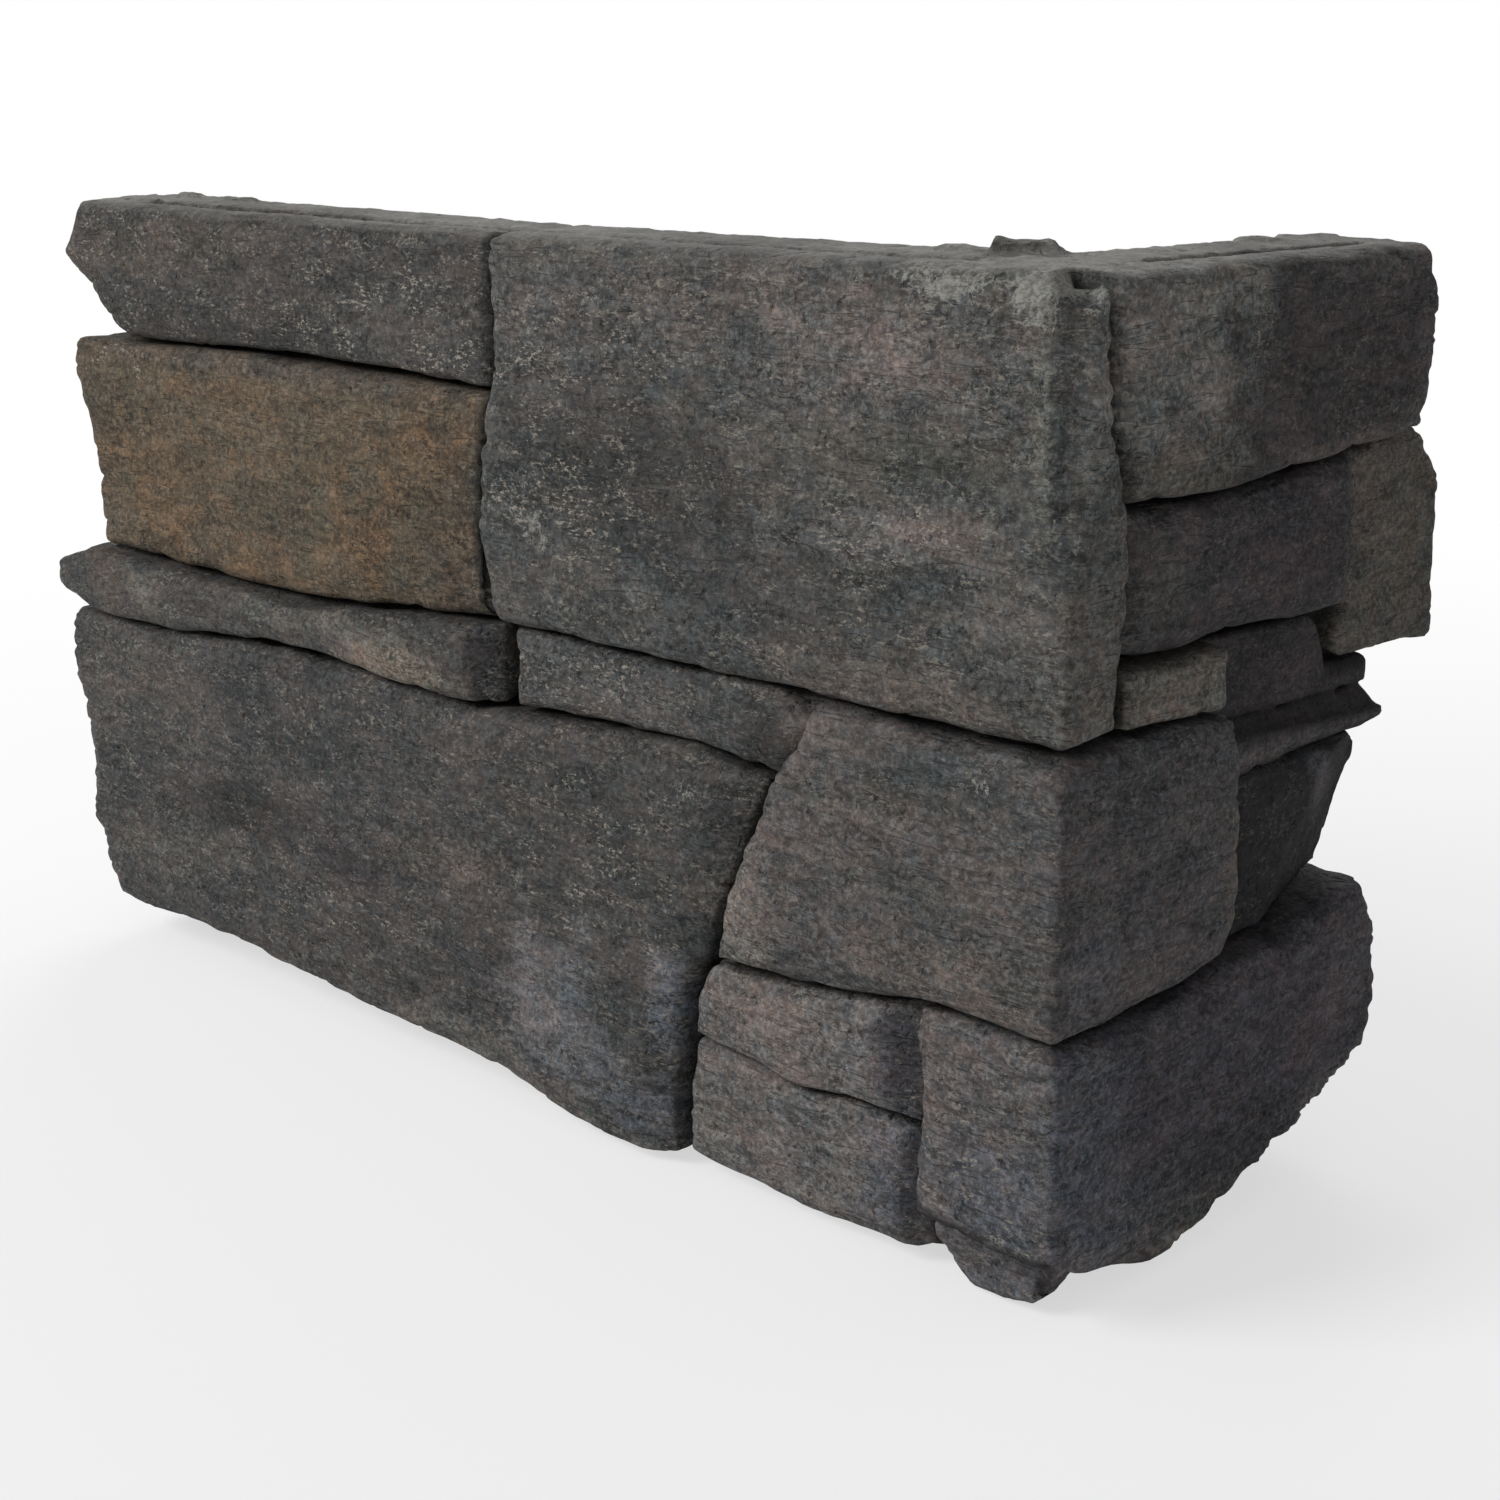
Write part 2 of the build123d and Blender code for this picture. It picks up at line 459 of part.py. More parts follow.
def chipped_corner(depth, width, height):
    """The notch broken out of the top of the outside corner, as a wedge to cut away."""
    wires = []
    for out, share in ((BACKING + 30, 1.4), (BACKING + 30 - depth, 0.2)):
        half, drop = share * width / 2, share * height
        ring = [(out - half, -out - half, TOP + 1), (out + half, -out + half, TOP + 1),
                (out, -out, TOP - drop)]
        wires.append(Wire.make_polygon(ring, close=True))
    return Solid.make_loft(wires, ruled=True)


def corner_panel():
    """The whole casting."""
    a, b = long_leg_lines(), return_lines()
    wrap = beyond_corner()
    cs, ll = CORNER_STONE, LONG_LEG
    low, middle, upper = BED_LOW, BED_MIDDLE, BED_UPPER
    ledge = middle - LEDGE_RISE
    # swellings and hollows: s, z, length, height, turn, rise; splits: s, z, towards, fall
    great = [
        (ll - 112, low - 18, 170, 40, -6, -LONG_HOLLOW),
        (ll - 118, low - 46, 140, 30, -6, SWELL),
        (cs + 52, low + 12, 150, 60, -4, SWELL),
        (cs - 28, low - 46, 90, 60, 10, SWELL),
    ]
    great_corner = [
        (cs - 66, upper - 25, 120, 54, 0, -HOLLOW),
        (74, upper + 20, 110, 44, 0, SWELL),
        (72, middle + 46, 90, 34, -4, SWELL),
        (cs - 28, middle + 34, 44, 50, 0, SWELL),
    ]
    brown = [(cs + 84, middle + 36, 130, 54, 0, SWELL), (ll - 84, middle + 34, 90, 54, 0, -HOLLOW)]
    pieces = [
        # the long leg, from the free end to the corner
        stone(on_long_leg, a["head_upper"], a["end_top"], a["upper"], a["top"], 17, turn=-0.4,
              free="far top", swellings=[(ll - 132, upper + 25, 120, 34, 0, SWELL)]),
        stone(on_long_leg, a["head_upper"], a["end_brown"], a["middle"], a["upper"], 19, turn=0.3,
              free="near far", swellings=brown),
        stone(on_long_leg, a["head_upper"], a["end_ledge"], a["ledge"], a["middle"], 25, turn=0.4,
              ease=5, free="far", splits=[(cs + 9, ledge + 12, 180, STEEP_SPLIT)]),
        stone(on_long_leg, a["head_low"], a["end_great"], a["foot_great"], a["ledge"], 25, lean=-1.2,
              ease=8, free="far bottom", swellings=great,
              splits=[(LOW_HEAD + 8, low - 28, 196, SPLIT)]),
        stone(on_long_leg, a["head_slip"], a["head_upper"], a["ledge"], a["middle"], 18, ease=5,
              splits=[(LOW_HEAD - 40, ledge + 16, 195, SPLIT)]),
        stone(on_long_leg, a["head_pillar"], a["head_low"], a["small"], a["low"], 20, turn=1.0, ease=5,
              splits=[(PILLAR_HEAD + 17, low - 24, 162, SPLIT)]),
        stone(on_long_leg, a["head_pillar"], a["head_low"], a["foot_small"], a["small"], 18, ease=5,
              free="bottom", splits=[(PILLAR_HEAD + 10, low - 64, 180, STEEP_SPLIT)]),
        # the stones that wrap the corner, from the top down, with the tongue of cement under them
        corner_stone(outline(wrap, a["head_upper"], a["middle"], a["top"], free="top"),
                     outline(wrap, b["head_upper"], b["middle"], b["top"], free="top"), 21, 21,
                     swellings=(great_corner, ())),
        corner_stone(outline(wrap, a["head_low"], a["low"], a["middle"]),
                     outline(wrap, b["head_middle"], b["low"], b["middle"]), 24, 23,
                     swellings=([(46, middle - 22, 80, 34, 0, -HOLLOW), (68, low + 21, 90, 40, 0, SWELL)],
                                [(RETURN_MIDDLE - 46, low + 42, 70, 60, 0, SWELL)])),
        corner_stone(outline(wrap, a["head_pillar"], a["foot_corner"], a["low"], free="bottom"),
                     outline(wrap, b["end_bottom"], b["foot"], b["low"], free="far bottom"), 24, 26,
                     swellings=((), [(RETURN_BOTTOM - 82, low - 32, 120, 60, 0, SWELL)]),
                     splits=((), [(RETURN_BOTTOM - 16, CORNER_FOOT + 4, -66, STEEP_SPLIT)])),
        corner_stone(outline(wrap, a["head_tongue"], a["tongue_foot"], a["tongue_top"], free="bottom"),
                     outline(wrap, b["head_tongue"], b["tongue_foot"], b["tongue_top"], free="bottom"),
                     16, 16, ease=3),
        # the return, from the top down
        stone(on_return, b["head_upper"], b["end_top"], b["upper"], b["top"], 20, turn=0.5,
              free="far top", swellings=[(RETURN_LEG - 54, upper + 17, 80, 50, 0, -HOLLOW)]),
        stone(on_return, b["head_upper"], b["head_block"], b["small"], b["upper"], 16),
        stone(on_return, b["head_block"], b["end_finger"], b["finger"], b["upper"], 10, ease=4,
              free="far"),
        stone(on_return, b["head_upper"], b["head_small"], b["middle"], b["small"], 20, ease=3),
        stone(on_return, b["head_small"], b["end_deep"], b["thin"], b["block_foot"], 8, ease=2,
              joint=HAIR_JOINT, free="far"),
        stone(on_return, b["head_middle"], b["end_thin"], b["wedge"], b["thin"], 14, ease=1.5,
              joint=HAIR_JOINT, free="far"),
        stone(on_return, b["head_middle"], b["end_wedge"], b["low"], b["wedge"], 16, free="far"),
    ]
    body = backing()
    for piece in pieces + overflow_lumps():
        body = body + piece
    for cut in top_seams() + [chipped_corner(CHIP_DEPTH, CHIP_WIDTH, CHIP_HEIGHT)]:
        body = body - cut
    return body


os.makedirs("parts", exist_ok=True)
panel = corner_panel()
export_step(panel, "parts/corner_panel.step")
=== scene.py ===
"""Looks of the stone cladding corner piece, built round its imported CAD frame.

The piece is one casting: dark sandy concrete, moulded as a wall of squared rubble and washed with
colour by hand. Its skin is a fine copy of the CAD solid, weathered and chipped in mesh code. Places
on its face are in millimetres, as (s, z): s from the outside corner along either leg, z up.
"""
import logging
import math
from dataclasses import dataclass
from enum import Enum
from typing import Any, Sequence

import bmesh
import bpy
import numpy as np
from mathutils import Matrix, Vector


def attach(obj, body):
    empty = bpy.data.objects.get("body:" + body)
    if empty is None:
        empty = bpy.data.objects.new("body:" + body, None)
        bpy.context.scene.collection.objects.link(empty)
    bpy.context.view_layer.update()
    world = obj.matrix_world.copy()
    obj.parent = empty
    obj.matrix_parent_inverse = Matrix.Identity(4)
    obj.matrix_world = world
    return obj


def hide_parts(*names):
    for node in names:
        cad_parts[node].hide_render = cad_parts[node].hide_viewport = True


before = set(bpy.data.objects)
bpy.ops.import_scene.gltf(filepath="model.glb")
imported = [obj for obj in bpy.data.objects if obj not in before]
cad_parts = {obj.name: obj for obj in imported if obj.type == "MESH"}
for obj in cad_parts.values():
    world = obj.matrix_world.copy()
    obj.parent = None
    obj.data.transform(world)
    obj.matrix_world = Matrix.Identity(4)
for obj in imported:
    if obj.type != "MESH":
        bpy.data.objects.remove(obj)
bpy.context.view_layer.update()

LOG = logging.getLogger("corner_piece")
MM = 0.001
FAR = 1e9
WHITE = (1.0, 1.0, 1.0, 1.0)

Array = np.ndarray
Place = tuple[float, float]
Band = tuple[float, float]
Side = tuple[Place, Place]
Triple = tuple[float, float, float]


def linear(rgb: Triple) -> Triple:
    """The linear colour of one written in 0 to 255 as seen on a screen."""
    return tuple((c / 255 / 12.92) if c <= 10 else ((c / 255 + 0.055) / 1.055) ** 2.4
                 for c in rgb)


def paint(rgb: Triple) -> tuple[float, float, float, float]:
    """The colour of a node's socket, from one written in 0 to 255."""
    return (*linear(rgb), 1.0)


def eased(value: Array, low: float, high: float) -> Array:
    """A smooth step of value, from 0 at low to 1 at high."""
    t = np.clip((value - low) / (high - low), 0.0, 1.0)
    return t * t * (3 - 2 * t)


def sides_of(outline: Sequence[Place]) -> list[Side]:
    """The two ends of each side of an outline."""
    return list(zip(outline, (*outline[1:], outline[0])))


def inside(outline: Sequence[Place], s: Array, z: Array) -> Array:
    """Which places lie inside an outline.

    Args:
        outline: The corners, in order.
        s: Distances from the outside corner.
        z: Heights.

    Returns:
        True where a place is inside.
    """
    result = np.zeros(len(s), bool)
    for (s0, z0), (s1, z1) in sides_of(outline):
        if z0 != z1:
            crosses = (z0 > z) != (z1 > z)
            result ^= crosses & (s < s0 + (z - z0) * (s1 - s0) / (z1 - z0))
    return result


def side_distance(sides: Sequence[Side], s: Array, z: Array) -> Array:
    """How far places are from the nearest of some sides.

    Args:
        sides: The two ends of each side.
        s: Distances from the outside corner.
        z: Heights.

    Returns:
        The distance of each place.
    """
    best = np.full(len(s), FAR)
    for (s0, z0), (s1, z1) in sides:
        ds, dz = s1 - s0, z1 - z0
        t = np.clip(((s - s0) * ds + (z - z0) * dz) / (ds * ds + dz * dz), 0.0, 1.0)
        best = np.minimum(best, np.hypot(s - s0 - t * ds, z - z0 - t * dz))
    return best


@dataclass(frozen=True)
class Noise:
    """Seeded gradient noise in space, from about -1 to 1."""

    seed: int

    def _scrambled(self, cell: Array) -> Array:
        """Numbers for the cells of the lattice, the same on every run.

        Args:
            cell: The whole coordinates of each cell.

        Returns:
            One whole number for each cell, of 32 bits.
        """
        all_bits = np.uint64(0xFFFFFFFF)
        c = cell.astype(np.uint64)
        h = (c[:, 0] * np.uint64(73856093)) ^ (c[:, 1] * np.uint64(19349663))
        h = (h ^ (c[:, 2] * np.uint64(83492791))) + np.uint64(self.seed * 2654435761)
        for shift, factor in ((15, 2246822519), (13, 3266489917), (16, 668265263)):
            h &= all_bits
            h = (h ^ (h >> np.uint64(shift))) * np.uint64(factor)
        return (h & all_bits) ^ ((h & all_bits) >> np.uint64(14))

    def at(self, points: Array, reach: float | Triple) -> Array:
        """The noise at some points.

        Args:
            points: Points in millimetres.
            reach: The size of its features in millimetres, one for all axes or one for each.

        Returns:
            One value for each point.
        """
        q = points / np.asarray(reach, float) + 4096.0
        cell = np.floor(q).astype(np.int64)
        f = q - cell
        fade = f * f * f * (f * (f * 6 - 15) + 10)
        total = np.zeros(len(points))
        for corner in range(8):
            step = np.array([corner & 1, corner >> 1 & 1, corner >> 2])
            h = self._scrambled(cell + step)
            weight = np.prod(np.where(step, fade, 1 - fade), axis=1)
            for axis in range(3):
                slope = ((h >> np.uint64(10 * axis)) & np.uint64(1023)).astype(float) / 511.5 - 1
                total += weight * slope * (f[:, axis] - step[axis])
        return total * 1.5

    def layered(self, points: Array, reach: float | Triple, layers: int) -> Array:
        """The noise with finer and fainter noise on it.

        Args:
            points: Points in millimetres.
            reach: The size of the coarsest features; each layer's are half the last one's.
            layers: How many layers there are.

        Returns:
            One value for each point.
        """
        total = np.zeros(len(points))
        for layer in range(layers):
            scale = 0.5**layer
            total += scale * self.at(points + 61.7 * layer, np.asarray(reach, float) * scale)
        return total


@dataclass(frozen=True)
class Relief:
    """A random relief, in millimetres; with a level, only what stands above it counts."""

    seed: int
    height: float
    reach: float | Triple
    layers: int = 1
    level: float | None = None

    def at(self, points: Array) -> Array:
        """The height of the relief.

        Args:
            points: Points in millimetres.

        Returns:
            One height for each point.
        """
        pattern = Noise(self.seed).layered(points, self.reach, self.layers)
        if self.level is not None:
            pattern = np.maximum(pattern - self.level, 0.0)
        return self.height * pattern


class Leg(Enum):
    """The two legs of the corner piece."""

    LONG = 0
    RETURN = 1


class Way(Enum):
    """The four ways on a face, as unit steps in (s, z)."""

    DOWN = (0, -1)
    UP = (0, 1)
    AWAY = (1, 0)
    BACK = (-1, 0)


class Mark(Enum):
    """What lies on the washed stone in places; the value is its channel in the marks."""

    FLECKS = 0
    RUST = 1
    LIME = 2


@dataclass(frozen=True)
class Stone:
    """One moulded stone: its outline along the middle of its joints, and its wash.

    The outlines of stones at a rim run past it, and those round the corner run past the corner.
    """

    name: str
    leg: Leg
    outline: tuple[Place, ...]
    wash: Triple
    flecks: float = 0.25
    rust: float = 0.0
    relief: float = 1.0

    def _is_rim(self, side: Side) -> bool:
        """Whether a side of the outline runs past a rim or the corner."""
        (s0, z0), (s1, z1) = side
        return (max(z0, z1) < -5 or min(z0, z1) > 310 or max(s0, s1) < -80
                or (s0 == s1 and s0 > 228))

    def joint_sides(self, way: Way) -> list[Side]:
        """The sides of the outline that face one way and lie on a joint.

        Args:
            way: The way that they face.

        Returns:
            The two ends of each such side.
        """
        sides = sides_of(self.outline)
        turn = math.copysign(1, sum(s0 * z1 - s1 * z0 for (s0, z0), (s1, z1) in sides))
        found = []
        for side in sides:
            (s0, z0), (s1, z1) = side
            length = math.hypot(s1 - s0, z1 - z0)
            facing = ((z1 - z0) * way.value[0] - (s1 - s0) * way.value[1]) / length * turn
            if facing > 0.6 and not self._is_rim(side):
                found.append(side)
        return found


@dataclass(frozen=True)
class Spot:
    """A soft oval place on the face, with a wandering edge."""

    leg: Leg
    s: float
    z: float
    reach_s: float
    reach_z: float
    turn: float = 0.0

    def weight(self, skin: "Skin", wander: Array) -> Array:
        """How much each point of the skin belongs to the spot.

        Args:
            skin: The skin.
            wander: The wandering of the edge at each point.

        Returns:
            A share for each point, from 0 to 1.
        """
        c, t = math.cos(math.radians(self.turn)), math.sin(math.radians(self.turn))
        ds, dz = skin.s - self.s, skin.z - self.z
        q = np.hypot((ds * c + dz * t) / self.reach_s, (dz * c - ds * t) / self.reach_z)
        return (1 - eased(q + 0.45 * wander, 0.35, 1.25)) * (skin.leg == self.leg.value)


@dataclass(frozen=True)
class Tint:
    """A wash of another colour over a spot; a few of them are painted shade or a painted highlight.
    """

    spot: Spot
    rgb: Triple
    amount: float = 0.73


@dataclass(frozen=True)
class Blow:
    """A hollow or a swelling of the face, its height in millimetres."""

    spot: Spot
    height: float


@dataclass(frozen=True)
class Facet:
    """A flat split off a stone of the return: beyond a line, the face falls away from its depth."""

    stone: str
    s: float
    z: float
    towards: float
    depth: float
    fall: float
    ragged: float = 1.5


def long(s: float, z: float, reach_s: float, reach_z: float, turn: float = 0.0) -> Spot:
    """A spot on the long leg."""
    return Spot(Leg.LONG, s, z, reach_s, reach_z, turn)


def short(s: float, z: float, reach_s: float, reach_z: float, turn: float = 0.0) -> Spot:
    """A spot on the return, the short leg."""
    return Spot(Leg.RETURN, s, z, reach_s, reach_z, turn)


LOW_HEAD = ((149, -10), (149, 22), (146, 46), (144, 66), (133, 82), (127, 103), (119, 122),
            (108, 148))
LEDGE_FOOT = ((146, 152), (190, 150), (238, 147), (258, 146), (314, 148), (379, 148), (449, 142),
              (560, 140))
LEDGE_HEAD = ((560, 172), (402, 168), (344, 168), (294, 173), (238, 177))
UPPER_HEAD = ((238, 177), (246, 185), (248, 203), (246, 233), (241, 256))
UPPER_BED = ((241, 256), (304, 257), (384, 258), (467, 256), (560, 255))

STONES = (
    Stone("top_left", Leg.LONG, (*UPPER_BED, (560, 320), (241, 320)), (68, 66, 64), 0.6),
    Stone("brown", Leg.LONG, (*UPPER_HEAD, *UPPER_BED[1:], *LEDGE_HEAD[:-1]), (85, 77, 63), 0.3,
        0.22),
    Stone("ledge", Leg.LONG, ((238, 177), *LEDGE_FOOT[2:], *LEDGE_HEAD[:-1]), (68, 67, 65), 0.45),
    Stone("great", Leg.LONG, (*LOW_HEAD, *LEDGE_FOOT, (560, -10)), (71, 70, 69), 0.5, 0.0, 1.1),
    Stone("great_corner", Leg.LONG, ((-90, 176.5), (33, 176.5), (97, 177.5), *UPPER_HEAD,
        (239, 270), (241, 320), (-90, 320)), (79, 79, 77), 0.55, 0.0, 1.05),
    Stone("slip", Leg.LONG, ((105, 148), (103, 151), (96, 164), (86, 177), (97, 177.5),
        (238, 177), (238, 147), (190, 150), (146, 152)), (80, 79, 78), 0.55),
    Stone("middle_corner", Leg.LONG, ((-90, 92), (30, 93), (48, 92), (72, 88), (97, 84),
        (133, 82), (127, 103), (119, 122), (108, 148), (98, 160), (87, 177), (33, 176.5),
        (-90, 176.5)), (84, 82, 81), 0.35),
    Stone("small_upper", Leg.LONG, ((45, 50), (79, 50.5), (99, 47.5), (118, 51.5), (145.5, 52.5),
        (144, 66), (133, 82), (97, 84), (72, 88), (48, 92)), (111, 106, 104), 0.5),
    Stone("small_lower", Leg.LONG, ((42, -10), (149, -10), (149, 22), (145.5, 52.5), (118, 51.5),
        (99, 47.5), (79, 50.5), (45, 50), (47, 32)), (101, 99, 98), 0.5),
    Stone("foot_corner", Leg.LONG, ((-90, 26), (8, 27), (45, 29), (47, 32), (45, 58), (47, 78),
        (48, 92), (30, 93), (-90, 92)), (89, 87, 87), 0.45),
    Stone("tongue", Leg.LONG, ((-90, -10), (42, -10), (45, 29), (8, 26), (-90, 26)), (92, 93, 96),
        0.3),
    Stone("great_corner", Leg.RETURN, ((-90, 176.5), (0, 176.5), (24, 177), (27, 183), (26, 196),
        (29, 216), (27, 243), (18, 265), (15, 293), (12, 320), (-90, 320)), (93, 92, 89), 0.45),
    Stone("middle_corner", Leg.RETURN, ((-90, 92), (60, 91.5), (80, 95), (90, 104), (93, 114),
        (91, 138), (88, 152), (85, 177), (60, 177), (30, 178), (0, 176.5), (-90, 176.5)),
        (82, 80, 81), 0.3),
    Stone("foot_corner", Leg.RETURN, ((-90, 26), (-5, 26), (16, -10), (240, -10), (240, 108),
        (157, 105), (133, 101), (117, 95), (80, 95), (60, 91.5), (-90, 92)), (70, 68, 74),
        0.25),
    Stone("tongue", Leg.RETURN, ((-90, -10), (16, -10), (-5, 26), (-90, 26)), (94, 94, 98), 0.3),
    Stone("return_top", Leg.RETURN, ((12, 320), (15, 293), (18, 265), (27, 243), (73, 241),
        (128, 244), (157, 246), (282, 252), (282, 320)), (66, 62, 62), 0.3),
    Stone("return_block", Leg.RETURN, ((27, 243), (29, 216), (26, 197), (58, 196), (100, 197),
        (127, 195), (159, 193), (158, 214), (155, 246), (128, 244), (73, 241)), (66, 63, 65),
        0.25),
    Stone("recessed", Leg.RETURN, ((157, 246), (158, 214), (160, 190), (158, 173), (180, 172),
        (282, 168), (282, 252)), (84, 82, 78), 0.3, 0.1),
    Stone("return_small", Leg.RETURN, ((26, 197), (27, 183), (24, 177), (60, 177), (82, 175),
        (82, 196), (58, 196)), (104, 100, 94), 0.55),
    Stone("deep", Leg.RETURN, ((84, 165), (115, 164), (200, 161), (200, 172), (159, 173),
        (158, 193), (127, 195), (100, 197), (82, 196)), (60, 56, 59), 0.15, 0.0, 0.6),
    Stone("thin", Leg.RETURN, ((88, 151), (152, 153), (200, 154), (200, 161), (115, 164),
        (84, 165)), (80, 77, 79), 0.2, 0.0, 0.5),
    Stone("wedge", Leg.RETURN, ((80, 95), (117, 95), (133, 101), (157, 105), (230, 108),
        (230, 154), (152, 153), (88, 151), (91, 138), (93, 114), (90, 104)), (34, 34, 37), 0.2),
)

TINTS = (
    # the brown stone and the long stone above it
    Tint(long(380, 251, 130, 6), (80, 76, 70), 0.85),
    Tint(long(262, 188, 16, 14), (74, 66, 58)),
    Tint(long(248, 225, 6, 40), (82, 77, 70)),
    Tint(long(440, 292, 70, 12), (78, 72, 64), 0.61),
    Tint(long(290, 272, 50, 18), (74, 73, 71)),
    Tint(long(500, 230, 20, 60), (82, 73, 62), 0.61),
    Tint(long(515, 268, 18, 16), (50, 48, 45), 0.85),
    Tint(long(420, 266, 90, 9), (58, 56, 53), 0.7),
    Tint(long(260, 215, 12, 32), (66, 60, 52), 0.7),
    # the ledge
    Tint(long(455, 158, 15, 6), (98, 95, 88), 0.85),
    Tint(long(480, 160, 18, 12), (78, 72, 66), 0.61),
    Tint(long(292, 154, 44, 9), (118, 109, 98), 0.85),
    Tint(long(247, 160, 5, 16), (54, 54, 57), 0.9),
    Tint(long(350, 163, 60, 6), (92, 90, 85), 0.61),
    Tint(long(112, 160, 13, 14), (46, 45, 44), 0.85),
    # the great lower stone
    Tint(long(300, 10, 220, 8), (98, 96, 93), 0.65),
    Tint(long(244, 54, 22, 24), (58, 57, 57), 0.7),
    Tint(long(400, 74, 66, 12, -6), (50, 48, 47), 0.8),
    Tint(long(330, 72, 34, 14), (56, 53, 55), 0.85),
    Tint(long(268, 86, 40, 11, -8), (90, 83, 78)),
    Tint(long(205, 42, 34, 34), (106, 107, 110), 0.79),
    Tint(long(152, 62, 9, 20), (102, 104, 110), 0.92),
    Tint(long(165, 20, 22, 14), (92, 93, 98), 0.85),
    Tint(long(200, 118, 45, 22), (62, 63, 62), 0.79),
    Tint(long(470, 118, 50, 18), (80, 76, 71), 0.61),
    Tint(long(265, 20, 45, 6, -2), (98, 95, 90), 0.85),
    Tint(long(360, 120, 60, 22), (60, 60, 60), 0.79),
    Tint(long(430, 50, 60, 10, -6), (86, 83, 78), 0.61),
    # the great corner stone
    Tint(long(205, 275, 40, 24), (92, 88, 86)),
    Tint(long(66, 280, 56, 22), (106, 100, 97), 0.85),
    Tint(long(150, 285, 40, 18), (90, 86, 84), 0.61),
    Tint(long(175, 232, 62, 30), (50, 51, 50), 0.85),
    Tint(long(200, 252, 50, 14), (64, 64, 63), 0.6),
    Tint(long(60, 252, 60, 9), (74, 75, 70)),
    Tint(long(64, 228, 32, 9, -4), (104, 98, 95), 0.79),
    Tint(long(25, 205, 30, 18), (86, 86, 84), 0.61),
    Tint(long(120, 205, 60, 20), (64, 65, 65), 0.85),
    # Painted highlight: a pale strip on the face beside the arris; painted shade: a dark strip on
    # the arris's bevel just past it.
    Tint(long(10, 262, 4, 34), (112, 111, 104), 0.92),
    Tint(long(3, 262, 4, 32), (70, 71, 72)),
    Tint(long(50, 188, 60, 8), (88, 83, 78), 0.61),
    # the middle corner stone
    Tint(long(42, 158, 36, 12), (66, 70, 71), 0.92),
    Tint(long(112, 112, 18, 26), (98, 92, 89), 0.85),
    Tint(long(60, 150, 40, 6, -6), (94, 88, 82), 0.61),
    Tint(long(35, 106, 36, 9), (96, 90, 85), 0.79),
    Tint(long(50, 125, 40, 10), (76, 77, 75), 0.61),
    Tint(long(95, 168, 16, 8), (96, 92, 90), 0.61),
    Tint(long(4, 150, 5, 30), (72, 74, 76)),
    Tint(long(120, 102, 17, 22), (112, 106, 101), 0.8),
    # the small stones and the foot of the corner
    Tint(long(115, 68, 24, 12), (106, 100, 97)),
    # Painted shade: the split face at the corner end of the small upper stone turns away from the
    # key lamp and is darkened bluish here.
    Tint(long(58, 66, 10, 16), (72, 73, 80), 0.8),
    Tint(long(138, 22, 13, 20), (120, 117, 113), 0.75),
    Tint(long(56, 70, 9, 15), (52, 52, 57), 0.85),
    Tint(long(60, 30, 14, 22), (90, 91, 97), 0.92),
    Tint(long(125, 32, 22, 14), (102, 97, 95)),
    # Painted shade: the split face at the corner end of the small lower stone turns away from the
    # key lamp and is darkened bluish here.
    Tint(long(52, 22, 5, 30), (62, 63, 68), 0.8),
    Tint(long(38, 72, 14, 20), (96, 91, 89)),
    Tint(long(14, 42, 22, 18), (90, 92, 99)),
    Tint(long(20, 15, 20, 10), (74, 75, 78), 0.61),
    # the return
    Tint(short(7, 55, 14, 46), (106, 106, 110), 0.75),
    Tint(short(64, 16, 44, 9), (106, 103, 100), 0.65),
    Tint(short(175, 302, 50, 8), (98, 94, 92), 0.6),
    Tint(short(72, 298, 34, 12), (114, 114, 110), 0.85),
    # Painted shade: the block under the overhanging top stone, and more strongly the deep stone
    # under the block, are darkened where their shade falls.
    Tint(short(125, 217, 36, 18), (50, 47, 49), 0.7),
    Tint(short(118, 183, 34, 10), (46, 43, 46), 0.8),
    Tint(short(155, 76, 52, 30), (60, 57, 63), 0.7),
    Tint(short(26, 22, 36, 22), (102, 102, 106), 0.75),
    Tint(short(8, 280, 9, 22), (88, 90, 94), 0.85),
    Tint(short(38, 278, 52, 36), (116, 116, 113), 0.95),
    Tint(short(48, 250, 40, 9), (98, 94, 88)),
    Tint(short(135, 249, 60, 5, 4), (94, 88, 84)),
    Tint(short(188, 275, 7, 36), (88, 83, 82), 0.61),
    Tint(short(46, 216, 24, 16), (78, 77, 75)),
    Tint(short(120, 222, 40, 20), (68, 62, 66)),
    Tint(short(190, 215, 14, 30), (88, 87, 83), 0.61),
    Tint(short(45, 132, 34, 28), (80, 77, 80), 0.61),
    Tint(short(87, 130, 7, 42), (96, 92, 86)),
    Tint(short(12, 110, 16, 18), (88, 90, 96)),
    Tint(short(12, 48, 24, 34), (88, 90, 98)),
    Tint(short(95, 60, 60, 34), (78, 73, 79)),
    Tint(short(158, 74, 20, 22), (88, 84, 88), 0.61),
    Tint(short(150, 34, 30, 7, 12), (100, 97, 97)),
    Tint(short(60, 9, 34, 4), (112, 109, 104), 0.85),
    Tint(short(150, 138, 8, 16, 40), (92, 90, 94), 0.61),
)

